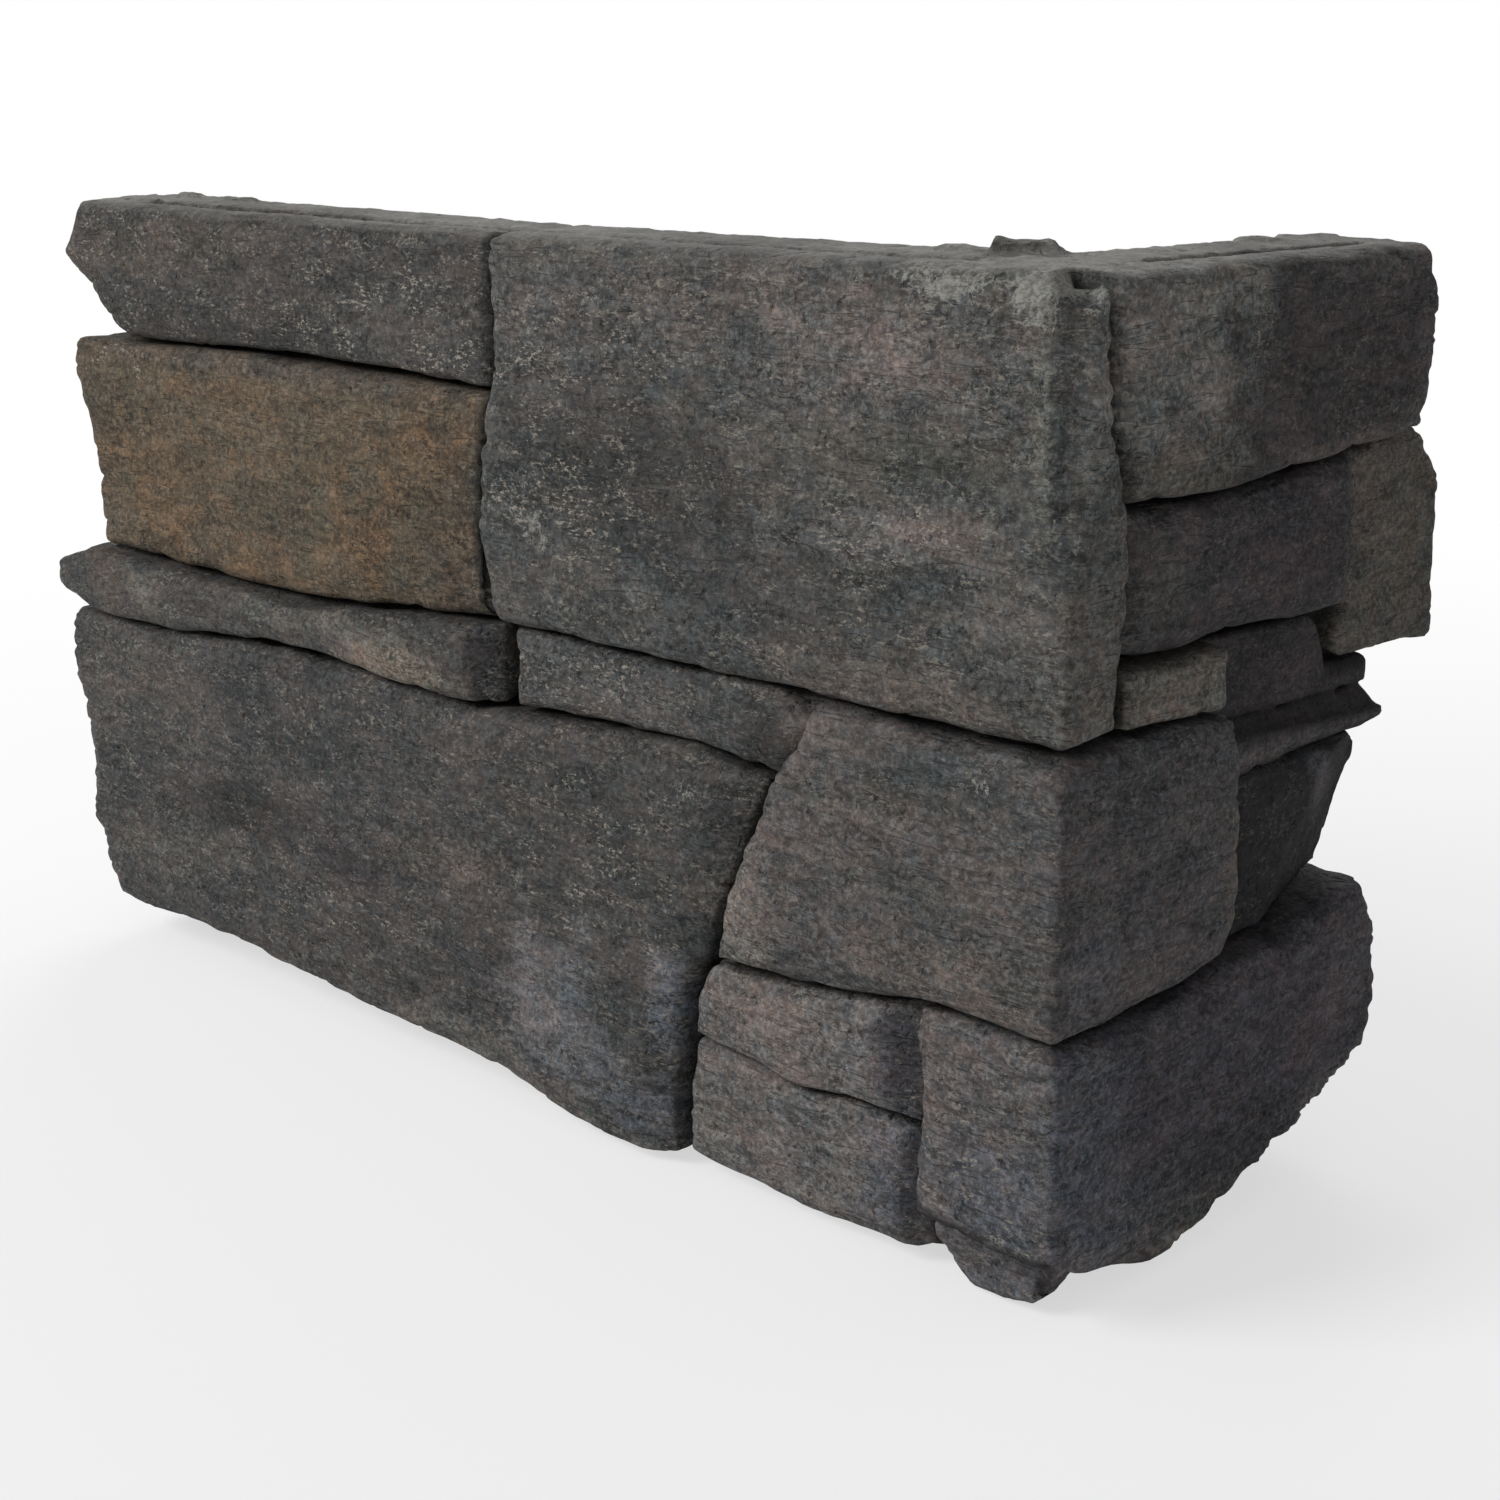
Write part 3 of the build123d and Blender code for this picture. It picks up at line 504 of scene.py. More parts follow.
STAINS = {
    Mark.FLECKS: (
        (long(300, 276, 60, 14), 0.5),
        (long(270, 264, 45, 7), 0.5),
        (long(295, 152, 44, 8), 0.9),
        (long(470, 245, 30, 10), 0.6),
        (long(205, 215, 40, 28), 0.3),
        (long(200, 270, 40, 24), 0.4),
        (long(60, 228, 34, 10), 0.6),
        (long(190, 100, 50, 40), 0.35),
        (long(330, 50, 70, 14, -8), 0.4),
        (long(118, 100, 14, 24), 0.5),
        (long(200, 163, 40, 8), 0.4),
        (long(28, 40, 18, 40), 0.35),
        (short(90, 292, 8, 14), 0.7),
    ),
    Mark.RUST: (
        (long(465, 200, 36, 26), 0.4),
        (long(312, 200, 30, 24), 0.64),
        (long(268, 240, 18, 10), 0.48),
        (long(400, 184, 60, 14), 0.48),
        (long(290, 225, 25, 18), 0.32),
        (long(420, 240, 50, 8), 0.2),
        (long(262, 208, 14, 20), 0.32),
        (short(208, 222, 9, 18), 0.4),
    ),
    Mark.LIME: (
        (long(222, 220, 22, 16, -30), 0.34),
        (long(216, 205, 9, 15), 0.36),
        (long(38, 302, 46, 5), 0.62),
        (long(12, 296, 12, 9), 0.7),
        (long(44, 296, 8, 5), 0.5),
        (long(3, 240, 5, 9), 0.5),
        (short(0, 234, 4, 8), 0.45),
        (long(26, 162, 12, 4), 0.5),
        (long(15, 136, 5, 6), 0.4),
        (long(140, 136, 14, 6), 0.45),
        (long(4, 5, 6, 5), 0.6),
        (short(6, 22, 14, 6), 0.42),
        (long(12, 30, 14, 4), 0.5),
        (short(0, 298, 12, 7), 0.6),
        (long(25, 65, 14, 10), 0.25),
    ),
}

BLOWS = (
    Blow(long(400, 74, 72, 10, -6), -1.4),
    Blow(long(385, 54, 70, 7, -6), 0.9),
    Blow(long(262, 78, 40, 9, -8), -1.3),
    Blow(long(70, 226, 44, 9), 1.4),
    Blow(long(70, 245, 60, 6, -2), -0.9),
    Blow(long(110, 195, 70, 10), 1.0),
    Blow(long(45, 154, 34, 10), -1.4),
    Blow(long(60, 138, 40, 8, -4), 1.1),
    Blow(long(455, 158, 16, 7), 1.2),
    Blow(long(290, 156, 40, 9), 1.5),
    Blow(short(55, 212, 30, 14), 1.0),
    Blow(short(30, 158, 26, 6, 20), -1.4),
    Blow(short(190, 215, 22, 20), 0.8),
)

FACETS = (
    Facet("wedge", 131, 124, -42, 46.0, 0.30),
    Facet("foot_corner", 92, 16, -72, 55.5, 0.9, 3.0),
    Facet("return_block", 150, 220, 0, 45.0, 0.4),
)


class Skin:
    """The fine mesh of the casting as arrays, in millimetres."""

    def __init__(self, mesh: bpy.types.Mesh, face_line: float) -> None:
        """Reads the mesh.

        Args:
            mesh: The fine mesh, in metres.
            face_line: The depth of the corner from which s is measured.
        """
        self.mesh = mesh
        count = len(mesh.vertices)
        points = np.empty(count * 3, np.float32)
        mesh.vertices.foreach_get("co", points)
        self.points = points.reshape(-1, 3).astype(float) / MM
        ends = np.empty(len(mesh.edges) * 2, np.int32)
        mesh.edges.foreach_get("vertices", ends)
        self.edges = ends.reshape(-1, 2)
        self.valence = np.maximum(np.bincount(ends, minlength=count), 1)[:, None]
        self.normals = self._normals()
        x, y, self.z = self.points.T
        self.leg = (x + y > 0).astype(int)
        self.s = np.where(self.leg == 1, y + face_line, face_line - x)
        self.depth = np.where(self.leg == 1, x, -y)
        self.stones = self._nearest_stones()

    def _nearest_stones(self) -> Array:
        """Shares the skin out among the stones.

        Returns:
            The number of the stone that each point belongs to.
        """
        index = np.full(len(self.points), -1)
        nearest = np.full(len(self.points), FAR)
        for number, stone in enumerate(STONES):
            mine = np.flatnonzero(self.leg == stone.leg.value)
            s, z = self.s[mine], self.z[mine]
            rim = side_distance(sides_of(stone.outline), s, z)
            away = np.where(inside(stone.outline, s, z), 0.0, rim)
            closer = mine[away < nearest[mine]]
            nearest[mine] = np.minimum(nearest[mine], away)
            index[closer] = number
        return index

    def of_stones(self, field: str) -> Array:
        """What a field of the stones says for each point."""
        return np.array([getattr(stone, field) for stone in STONES])[self.stones]

    def _normals(self) -> Array:
        """The normals of the mesh's points.

        Returns:
            One unit vector for each point.
        """
        normals = np.empty(len(self.points) * 3, np.float32)
        self.mesh.vertex_normals.foreach_get("vector", normals)
        return normals.reshape(-1, 3).astype(float)

    def smoothed(self, values: Array, rounds: int) -> Array:
        """Values averaged with their neighbours' along the mesh.

        Args:
            values: One value, or one row of them, for each point.
            rounds: How many times they are averaged.

        Returns:
            The averaged values.
        """
        values = values.astype(float).copy()
        a, b = self.edges.T
        flat = values.reshape(len(values), -1)
        for _ in range(rounds):
            total = np.stack(
                [np.bincount(a, flat[:, k][b], len(flat)) + np.bincount(b, flat[:, k][a], len(flat))
                 for k in range(flat.shape[1])], axis=1)
            flat = 0.5 * flat + 0.5 * total / self.valence
        return flat.reshape(values.shape)

    def bulge(self, rounds: int) -> Array:
        """How far each point stands out over the skin round it, in millimetres."""
        away = self.points - self.smoothed(self.points, rounds)
        return np.einsum("ij,ij->i", away, self.normals)

    def write(self) -> None:
        """Puts the points back into the mesh, in metres."""
        self.mesh.vertices.foreach_set("co", (self.points * MM).astype(np.float32).ravel())
        self.mesh.update()
        self.normals = self._normals()

    def store(self, name: str, values: Array) -> None:
        """Keeps values as an attribute that the material reads.

        Args:
            name: The attribute's name.
            values: Three values for each point.
        """
        rgba = np.ones((len(values), 4), np.float32)
        rgba[:, :3] = values
        attribute = self.mesh.attributes.new(name, "FLOAT_COLOR", "POINT")
        attribute.data.foreach_set("color", rgba.ravel())


class Signal:
    """A value that runs through a node tree; an expression on signals adds the nodes for it."""

    def __init__(self, bench: "Bench", socket: bpy.types.NodeSocket) -> None:
        """Wraps an output socket of a tree."""
        self.bench = bench
        self.socket = socket

    def output(self, name: str) -> "Signal":
        """Another output of the same node."""
        return Signal(self.bench, self.socket.node.outputs[name])

    def _math(self, operation: str, *values: Any) -> "Signal":
        """A Math node on one or two values."""
        return self.bench.node("ShaderNodeMath", {"operation": operation}, dict(enumerate(values)))

    def __add__(self, other: Any) -> "Signal":
        """Sum."""
        return self._math("ADD", self, other)

    def __radd__(self, other: Any) -> "Signal":
        """Sum, from the right."""
        return self._math("ADD", other, self)

    def __sub__(self, other: Any) -> "Signal":
        """Difference."""
        return self._math("SUBTRACT", self, other)

    def __rsub__(self, other: Any) -> "Signal":
        """Difference, from the right."""
        return self._math("SUBTRACT", other, self)

    def __mul__(self, other: Any) -> "Signal":
        """Product."""
        return self._math("MULTIPLY", self, other)

    def __rmul__(self, other: Any) -> "Signal":
        """Product, from the right."""
        return self._math("MULTIPLY", other, self)

    def __abs__(self) -> "Signal":
        """The value without its sign."""
        return self._math("ABSOLUTE", self)

    def at_least(self, low: float) -> "Signal":
        """The value, or low where that is more."""
        return self._math("MAXIMUM", self, low)

    def step(self, low: float, high: float) -> "Signal":
        """A smooth step, from 0 at low to 1 at high."""
        inputs = {"Value": self, "From Min": low, "From Max": high}
        return self.bench.node("ShaderNodeMapRange", {"interpolation_type": "SMOOTHSTEP"}, inputs)

    def clamped(self) -> "Signal":
        """The value held between 0 and 1."""
        return self.bench.node("ShaderNodeClamp", {}, {"Value": self})


@dataclass(frozen=True)
class Grain:
    """The noise of a finish: its feature size in millimetres, detail, roughness and bend."""

    size: float
    detail: float
    rough: float
    bend: float = 0.0


class Bench:
    """The node tree of a material or a world, and the one way that nodes are added to it."""

    def __init__(self, owner: bpy.types.Material | bpy.types.World) -> None:
        """Empties a new tree.

        Args:
            owner: The new material or world.
        """
        self.owner = owner
        owner.use_nodes = True
        owner.node_tree.nodes.clear()

    def node(self, kind: str, settings: dict[str, Any], inputs: dict[Any, Any],
             output: Any = 0) -> Signal | None:
        """Adds a node.

        Args:
            kind: The node's type.
            settings: Its own settings, set first.
            inputs: Values or signals for its sockets, by name or place.
            output: The output that is wanted, by name or place.

        Returns:
            The output as a signal, or nothing from a node that has none.
        """
        made = self.owner.node_tree.nodes.new(kind)
        for name, value in settings.items():
            setattr(made, name, value)
        for name, value in inputs.items():
            if isinstance(value, Signal):
                self.owner.node_tree.links.new(value.socket, made.inputs[name])
            else:
                made.inputs[name].default_value = value
        return Signal(self, made.outputs[output]) if made.outputs else None

    def mixed(self, first: Any, second: Any, share: Any, blend: str = "MIX") -> Signal:
        """Two colours mixed by a share."""
        settings = {"data_type": "RGBA", "blend_type": blend, "clamp_factor": True}
        return self.node("ShaderNodeMix", settings, {0: share, 6: first, 7: second}, 2)

    def scaled(self, colour: Signal, amount: Any) -> Signal:
        """A colour made lighter or darker."""
        inputs = {0: colour, "Scale": amount}
        return self.node("ShaderNodeVectorMath", {"operation": "SCALE"}, inputs)

    def stretched(self, place: Signal, up: float) -> Signal:
        """A place whose height counts more, for features that lie flat."""
        return self.node("ShaderNodeMapping", {}, {"Vector": place, "Scale": (1.0, 1.0, up)})

    def noise(self, place: Signal, grain: Grain) -> Signal:
        """The noise of a grain at a place."""
        inputs = {"Vector": place, "Scale": 1 / (grain.size * MM), "Detail": grain.detail,
                  "Roughness": grain.rough, "Distortion": grain.bend}
        return self.node("ShaderNodeTexNoise", {}, inputs)

    def painted(self, attribute: str) -> Signal:
        """The colour that an attribute of the mesh holds."""
        return self.node("ShaderNodeAttribute", {"attribute_name": attribute}, {}, "Color")

    def channels(self, attribute: str) -> tuple[Signal, Signal, Signal]:
        """The three values of an attribute of the mesh."""
        split = self.node("ShaderNodeSeparateColor", {}, {0: self.painted(attribute)})
        return split, split.output("Green"), split.output("Blue")

    def finished(self, shader: Signal) -> None:
        """Joins a shader to the tree's output."""
        kind = "World" if isinstance(self.owner, bpy.types.World) else "Material"
        self.node(f"ShaderNodeOutput{kind}", {}, {"Surface": shader})


@dataclass(frozen=True)
class CastStoneFinish:
    """Dark sandy concrete: washed in patches, mottled, grainy and flecked with pale sand."""

    fleck: Triple = (146, 139, 128)
    rust: Triple = (112, 84, 59)
    lime: Triple = (150, 149, 142)
    soot_and_shade: Triple = (21, 19, 18)
    bare: Triple = (134, 132, 127)
    bare_dark: Triple = (108, 106, 102)
    cool: Triple = (0.94, 1.0, 1.0)
    warm: Triple = (1.07, 0.99, 0.95)
    pink: Triple = (1.06, 0.985, 0.96)
    slate: Triple = (0.94, 1.0, 1.06)
    bed_stretch: float = 2.1
    seam_stretch: float = 7.0
    clouds: Grain = Grain(38, 4, 0.6, 0.3)
    mottle: Grain = Grain(9, 6, 0.68, 0.4)
    strokes: Grain = Grain(3.6, 4, 0.7, 0.2)
    sand: Grain = Grain(2.0, 4, 0.8)
    pits: Grain = Grain(2.8, 2, 0.5, 0.3)
    hue: Grain = Grain(6, 4, 0.7)
    seams: Grain = Grain(46, 3, 0.6)
    blotch: Grain = Grain(22, 6, 0.66)
    scatter: Grain = Grain(2.4, 4, 0.74)
    shower: Grain = Grain(14, 5, 0.62)
    veins: Grain = Grain(9, 4, 0.65, 0.5)
    drying: Grain = Grain(75, 5, 0.6, 0.4)
    bubbles: Grain = Grain(7, 1, 0.4)
    base_tone: float = 0.19
    darkest_tone: float = 0.16
    bare_tone: float = 0.62
    worn_gain: float = 1.7
    bump_strength: float = 0.75
    bump_depth: float = 0.0016
    base_rough: float = 0.80
    specular: float = 0.35

    def material(self) -> bpy.types.Material:
        """Builds the material.

        Returns:
            The finished material, which reads the skin's wash, marks and wear.
        """
        b = Bench(bpy.data.materials.new("cast_stone"))
        place = b.node("ShaderNodeTexCoord", {}, {}, "Object")
        bedded = b.stretched(place, self.bed_stretch)
        wash = b.painted("wash")
        flecks, rust, lime = b.channels("marks")
        soot_and_shade, edge, cement = b.channels("wear")

        clouds = b.noise(bedded, self.clouds)
        mottle = b.noise(bedded, self.mottle)
        strokes = b.noise(bedded, self.strokes)
        sand = b.noise(place, self.sand)
        pits = b.noise(place, self.pits)
        hue = b.noise(place, self.hue)
        seams = b.noise(b.stretched(place, self.seam_stretch), self.seams)
        seam = (1 - abs(seams - 0.5).step(0.0, 0.02)) * mottle.step(0.44, 0.58)

        tint = b.mixed((*self.cool, 1.0), (*self.warm, 1.0), clouds.step(0.38, 0.62))
        colour = b.mixed(wash, tint, 1.0, "MULTIPLY")
        speck = b.mixed((*self.slate, 1.0), (*self.pink, 1.0), hue.step(0.40, 0.60))
        colour = b.mixed(colour, speck, 1.0, "MULTIPLY")
        tone = self.base_tone + clouds.step(0.36, 0.66) * 0.34 + mottle.step(0.38, 0.64) * 0.50
        tone = tone + strokes.step(0.40, 0.64) * 0.32 + sand.step(0.45, 0.66) * 0.92
        tone = tone - pits.step(0.62, 0.74) * 0.3 - seam * 0.5
        blotch = b.noise(place, self.blotch)
        stained = (rust * blotch.step(0.36, 0.66) * 0.85).clamped()
        colour = b.mixed(colour, paint(self.rust), stained)
        colour = b.scaled(colour, tone.at_least(self.darkest_tone))

        scatter = b.noise(bedded, self.scatter)
        shower = b.noise(bedded, self.shower)
        pale = scatter.step(0.53, 0.62) * (flecks * (0.1 + shower.step(0.44, 0.60) * 1.3))
        colour = b.mixed(colour, paint(self.fleck), (pale * 0.9).clamped())
        veins = 1 - abs(b.noise(place, self.veins) - 0.5).step(0.0, 0.045)
        smear = (lime * 1.5 + veins * 0.5 + sand * 0.7 + mottle * 0.9).step(1.62, 2.0)
        smeared = (smear * (0.3 + sand.step(0.40, 0.58) * 0.5)).clamped()
        colour = b.mixed(colour, paint(self.lime), smeared)
        worn = (edge * sand.step(0.40, 0.60) * 0.5).clamped()
        colour = b.mixed(colour, b.scaled(wash, self.worn_gain), worn)
        drying = b.noise(place, self.drying)
        bubbles = b.noise(place, self.bubbles).step(0.69, 0.73)
        dust = b.mixed(paint(self.bare), paint(self.bare_dark), drying.step(0.38, 0.60))
        bare_tone = self.bare_tone + mottle.step(0.34, 0.66) * 0.26
        bare_tone = bare_tone + sand.step(0.40, 0.64) * 0.22 + clouds.step(0.4, 0.6) * 0.14
        colour = b.mixed(colour, b.scaled(dust, bare_tone - bubbles * 0.5), cement)
        # Soot-coloured paint in the joints, with painted shade in the joints and hollows, darkens
        # the colour here.
        colour = b.mixed(colour, paint(self.soot_and_shade), (soot_and_shade * 0.94).clamped())

        height = strokes * 0.5 + sand * 0.3 + mottle * 1.5 - seam * 0.5
        height = height - pits.step(0.58, 0.76) * 0.7
        bump = b.node("ShaderNodeBump", {}, {
            "Strength": self.bump_strength, "Distance": self.bump_depth, "Height": height})
        rough = self.base_rough + sand * 0.12
        b.finished(b.node("ShaderNodeBsdfPrincipled", {}, {
            "Base Color": colour, "Roughness": rough, "Normal": bump,
            "Specular IOR Level": self.specular}))
        return b.owner


@dataclass
class CornerCasting:
    """The whole casting: a fine skin over the CAD solid, weathered, chipped and painted."""

    node: str = "corner_panel"
    name: str = "cast_stone_panel"
    face_line: float = 50.0
    joint_floor: float = 30.0
    top: float = 305.0
    voxel: float = 1.35
    triangles: int = 192000
    same_point: float = 1e-6

    lower_lip: float = 5.5
    far_lip: float = 4.5
    lip_share: Band = (6, 19)

    waves: Relief = Relief(7, 0.8, (72, 72, 46))
    swells: Relief = Relief(11, 0.6, (26, 26, 13))
    bed_slope: float = 0.09
    beds: Relief = Relief(12, 0.75, (26, 26, 6.5), 2)
    creases: Relief = Relief(13, 1.0, (58, 58, 8))
    crease_depth: float = 0.7
    wander: Relief = Relief(21, 0.7, 16)
    splits: Relief = Relief(31, 1.0, 11, 2)
    split_floor: float = 3

    arris: float = 71.5
    arris_bevel: float = 6.0
    arris_waves: Relief = Relief(41, 1.6, (40, 40, 18))
    arris_foot: Band = (212, 246)
    arris_head: Band = (300, 306)

    rim: Band = (0.12, 0.55)
    ragged: Relief = Relief(53, 0.45, 21)
    flakes: Relief = Relief(58, 0.3, (20, 20, 5), 2)
    chips: Relief = Relief(51, 3.6, (15, 15, 11), 2, 0.28)
    nicks: Relief = Relief(52, 0.8, 5.0, 1, 0.25)
    fine: Relief = Relief(54, 0.2, (11, 11, 5), 3)
    pinholes: Relief = Relief(55, 0.8, 4.5, 1, 0.35)
    cast: Relief = Relief(56, 0.5, 9, 3)
    lumps: Relief = Relief(57, 1.0, 8, 3)
    lump_height: float = 1.1

    wash_wander: Relief = Relief(61, 1.0, 15, 3)
    # The soot and painted shade in the joints, and the painted shade in the hollows.
    open_depth: Band = (16, 22)
    joint_soot_and_shade: Band = (2.0, 5.0)
    joint_share: float = 0.9
    soot_and_shade_share: float = 0.9
    hollow_shade: Band = (0.5, 2.4)
    worn_edge: Band = (0.10, 0.42)
    return_rim: Band = (218, 226)
    long_rim: Band = (500, 512)
    bare_depth: Band = (12, 18)

    def _applied(self, piece: bpy.types.Object) -> None:
        """Replaces a mesh by what its modifiers make of it.

        Args:
            piece: The object.
        """
        view = bpy.context.evaluated_depsgraph_get()
        made = bpy.data.meshes.new_from_object(piece.evaluated_get(view))
        piece.modifiers.clear()
        piece.data = made

    def _remeshed(self) -> bpy.types.Object:
        """Copies the CAD solid with a skin of small even faces.

        Returns:
            The copy.
        """
        mesh = bpy.data.meshes.new(self.name)
        copy = bmesh.new()
        copy.from_mesh(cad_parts[self.node].data)
        bmesh.ops.remove_doubles(copy, verts=copy.verts, dist=self.same_point)
        copy.to_mesh(mesh)
        copy.free()
        piece = bpy.data.objects.new(self.name, mesh)
        bpy.context.scene.collection.objects.link(piece)
        remesh = piece.modifiers.new("even_skin", "REMESH")
        remesh.mode = "VOXEL"
        remesh.voxel_size = self.voxel * MM
        self._applied(piece)
        return piece

    def _narrowed(self, skin: Skin) -> None:
        """Draws the stones' lower and far edges out over their joints.

        Args:
            skin: The skin, whose points are moved.
        """
        raised = eased(skin.depth, self.joint_floor + 4, self.joint_floor + 12)
        for number, stone in enumerate(STONES):
            mine = np.flatnonzero(skin.stones == number)
            s, z, share = skin.s[mine], skin.z[mine], raised[mine]
            below = side_distance(stone.joint_sides(Way.DOWN), s, z)
            beyond = side_distance(stone.joint_sides(Way.AWAY), s, z)
            skin.points[mine, 2] -= self.lower_lip * share * (1 - eased(below, *self.lip_share))
            push = self.far_lip * share * (1 - eased(beyond, *self.lip_share))
            if stone.leg is Leg.RETURN:
                skin.points[mine, 1] += push
            else:
                skin.points[mine, 0] -= push

    def _bedded(self, skin: Skin, on_face: Array) -> None:
        """Gives the faces their undulation, bedding and hollows.

        Args:
            skin: The skin, whose points are moved.
            on_face: How far each point lies on a face, from 0 to 1.
        """
        p = skin.points
        outward = skin.smoothed(skin.normals, 10)
        outward /= np.linalg.norm(outward, axis=1, keepdims=True) + 1e-9
        wave = self.waves.at(p) + self.swells.at(p)
        sloped = p + np.outer(self.bed_slope * (skin.s - 250), (0, 0, 1))
        beds = self.beds.at(sloped)
        crease = 1 - np.abs(self.creases.at(sloped))
        beds -= self.crease_depth * eased(crease, 0.90, 1.0)
        wander = self.wander.at(p)
        for blow in BLOWS:
            wave += blow.height * blow.spot.weight(skin, wander)
        relief = skin.of_stones("relief")
        p += outward * ((wave + beds) * on_face * relief)[:, None]

    def _split(self, skin: Skin, facet: Facet) -> None:
        """Splits a flat off a stone of the return.

        Args:
            skin: The skin, whose points are moved.
            facet: The split.
        """
        p, floor = skin.points, self.joint_floor + self.split_floor
        mine = (skin.of_stones("name") == facet.stone) & (skin.leg == Leg.RETURN.value)
        angle = math.radians(facet.towards)
        beyond = (skin.s - facet.s) * math.cos(angle) + (skin.z - facet.z) * math.sin(angle)
        beyond += facet.ragged * self.splits.at(p)
        depth = p[:, 0].copy()
        over = depth - (facet.depth - facet.fall * np.maximum(beyond, 0))
        over = np.where(mine & (beyond > 0) & (over > 0) & (depth > floor), over, 0.0)
        p[:, 0] -= np.clip(over, 0.0, np.maximum(depth - floor, 0.0))

    def _bevelled(self, skin: Skin) -> None:
        """Bevels the arris of the upper corner stone.

        Args:
            skin: The skin, whose points are moved.
        """
        p = skin.points
        out = (p[:, 0] - p[:, 1]) / math.sqrt(2)
        span = eased(skin.z, *self.arris_foot) * (1 - eased(skin.z, *self.arris_head))
        limit = self.arris - span * (self.arris_bevel + self.arris_waves.at(p))
        over = np.maximum(out - limit, 0.0) * span
        p[:, 0] -= over / math.sqrt(2)
        p[:, 1] += over / math.sqrt(2)

    def _carved(self, skin: Skin) -> None:
        """Carves the faces, and chips their edges.

        Args:
            skin: The skin, whose points are moved.
        """
        rim = eased(skin.bulge(5), *self.rim)
        on_face = eased(skin.depth, self.joint_floor + 2, self.joint_floor + 12)
        flat_back = 1 - eased(skin.depth, 0.5, 4.0)
        self._bedded(skin, on_face)
        for facet in FACETS:
            self._split(skin, facet)
        self._bevelled(skin)
        skin.write()

        p = skin.points
        edge = (self.ragged.at(p) + self.flakes.at(p) - self.chips.at(p) - self.nicks.at(p)) * rim
        fine = (self.fine.at(p) - self.pinholes.at(p)) * (0.3 + 0.7 * on_face)
        cast = self.cast.at(p)
        move = (edge + fine + cast * (1 - on_face)) * (1 - flat_back) + 0.16 * flat_back * cast
        lumps = eased(skin.z, self.top + 1.5, self.top + 4) * (1 - flat_back)
        move += self.lump_height * lumps * self.lumps.at(p)
        p += skin.normals * move[:, None]
        skin.write()

    def _washed_and_shaded(self, skin: Skin) -> None:
        """Works out the wash, with its painted shade and highlight, and the marks, and keeps them
        on the mesh.

        Args:
            skin: The finished skin.
        """
        wash = np.array([linear(stone.wash) for stone in STONES])[skin.stones]
        wander = self.wash_wander.at(skin.points)
        for tint in TINTS:
            share = (tint.amount * tint.spot.weight(skin, wander))[:, None]
            wash = wash * (1 - share) + np.array(linear(tint.rgb)) * share
        marks = np.zeros_like(skin.points)
        marks[:, Mark.FLECKS.value] = skin.of_stones("flecks")
        marks[:, Mark.RUST.value] = skin.of_stones("rust")
        for mark, places in STAINS.items():
            for spot, amount in places:
                marks[:, mark.value] += amount * spot.weight(skin, wander)
        skin.store("wash", skin.smoothed(wash, 4))
        skin.store("marks", marks)

    def _sooted_and_shaded(self, skin: Skin) -> Array:
        """Works out the soot in the joints, with painted shade on their floors and side walls.

        Args:
            skin: The finished skin.

        Returns:
            The soot and painted shade at each point, from 0 to 1.
        """
        on_return = skin.leg == Leg.RETURN.value
        near_end, far_end = (np.where(on_return, *ends)
                             for ends in zip(self.return_rim, self.long_rim))
        opened = eased(skin.depth, *self.open_depth)
        # Soot-coloured paint with painted shade, on the joint floors deep between the stones.
        inner = 1 - eased(skin.depth, self.joint_floor - 1, self.joint_floor + 8)
        inner *= opened * eased(skin.z, 2, 8) * (1 - eased(skin.z, 298, 303))
        inner *= 1 - eased(skin.s, near_end, far_end)
        joint = np.full(len(skin.points), FAR)
        for number, stone in enumerate(STONES):
            mine = np.flatnonzero(skin.stones == number)
            sides = [side for way in Way for side in stone.joint_sides(way)]
            joint[mine] = side_distance(sides, skin.s[mine], skin.z[mine])
        # Soot-coloured paint with painted shade, on the side walls along the joint lines.
        line = self.joint_share * (1 - eased(joint, *self.joint_soot_and_shade)) * opened
        return self.soot_and_shade_share * np.maximum(inner, line)

    def _worn_and_shaded(self, skin: Skin) -> None:
        """Works out the soot and painted shade of the joints and hollows, the worn edges and the
        bare cement, and keeps them on the mesh.

        Args:
            skin: The finished skin.
        """
        under = skin.smoothed(skin.points, 22) - skin.points
        hollow = np.einsum("ij,ij->i", under, skin.smoothed(skin.normals, 2))
        wear = np.zeros_like(skin.points)
        # Painted shade: darker in the hollows of the skin, where shade falls, on top of the joints'
        # soot and painted shade.
        soot_and_shade = 0.55 * eased(hollow, *self.hollow_shade) + self._sooted_and_shaded(skin)
        wear[:, 0] = np.clip(soot_and_shade, 0, 1)
        wear[:, 1] = eased(skin.bulge(3), *self.worn_edge)
        on_top = eased(skin.normals[:, 2], 0.45, 0.85)
        on_top *= eased(skin.z, self.top - 7, self.top - 2.5)
        behind = 1 - eased(skin.depth, *self.bare_depth)
        dusty = 0.85 * on_top * (1 - 0.5 * eased(skin.depth, 34, 44))
        wear[:, 2] = np.maximum(behind, dusty)
        wear[:, 0] *= 1 - 0.8 * wear[:, 2]
        skin.store("wear", wear)

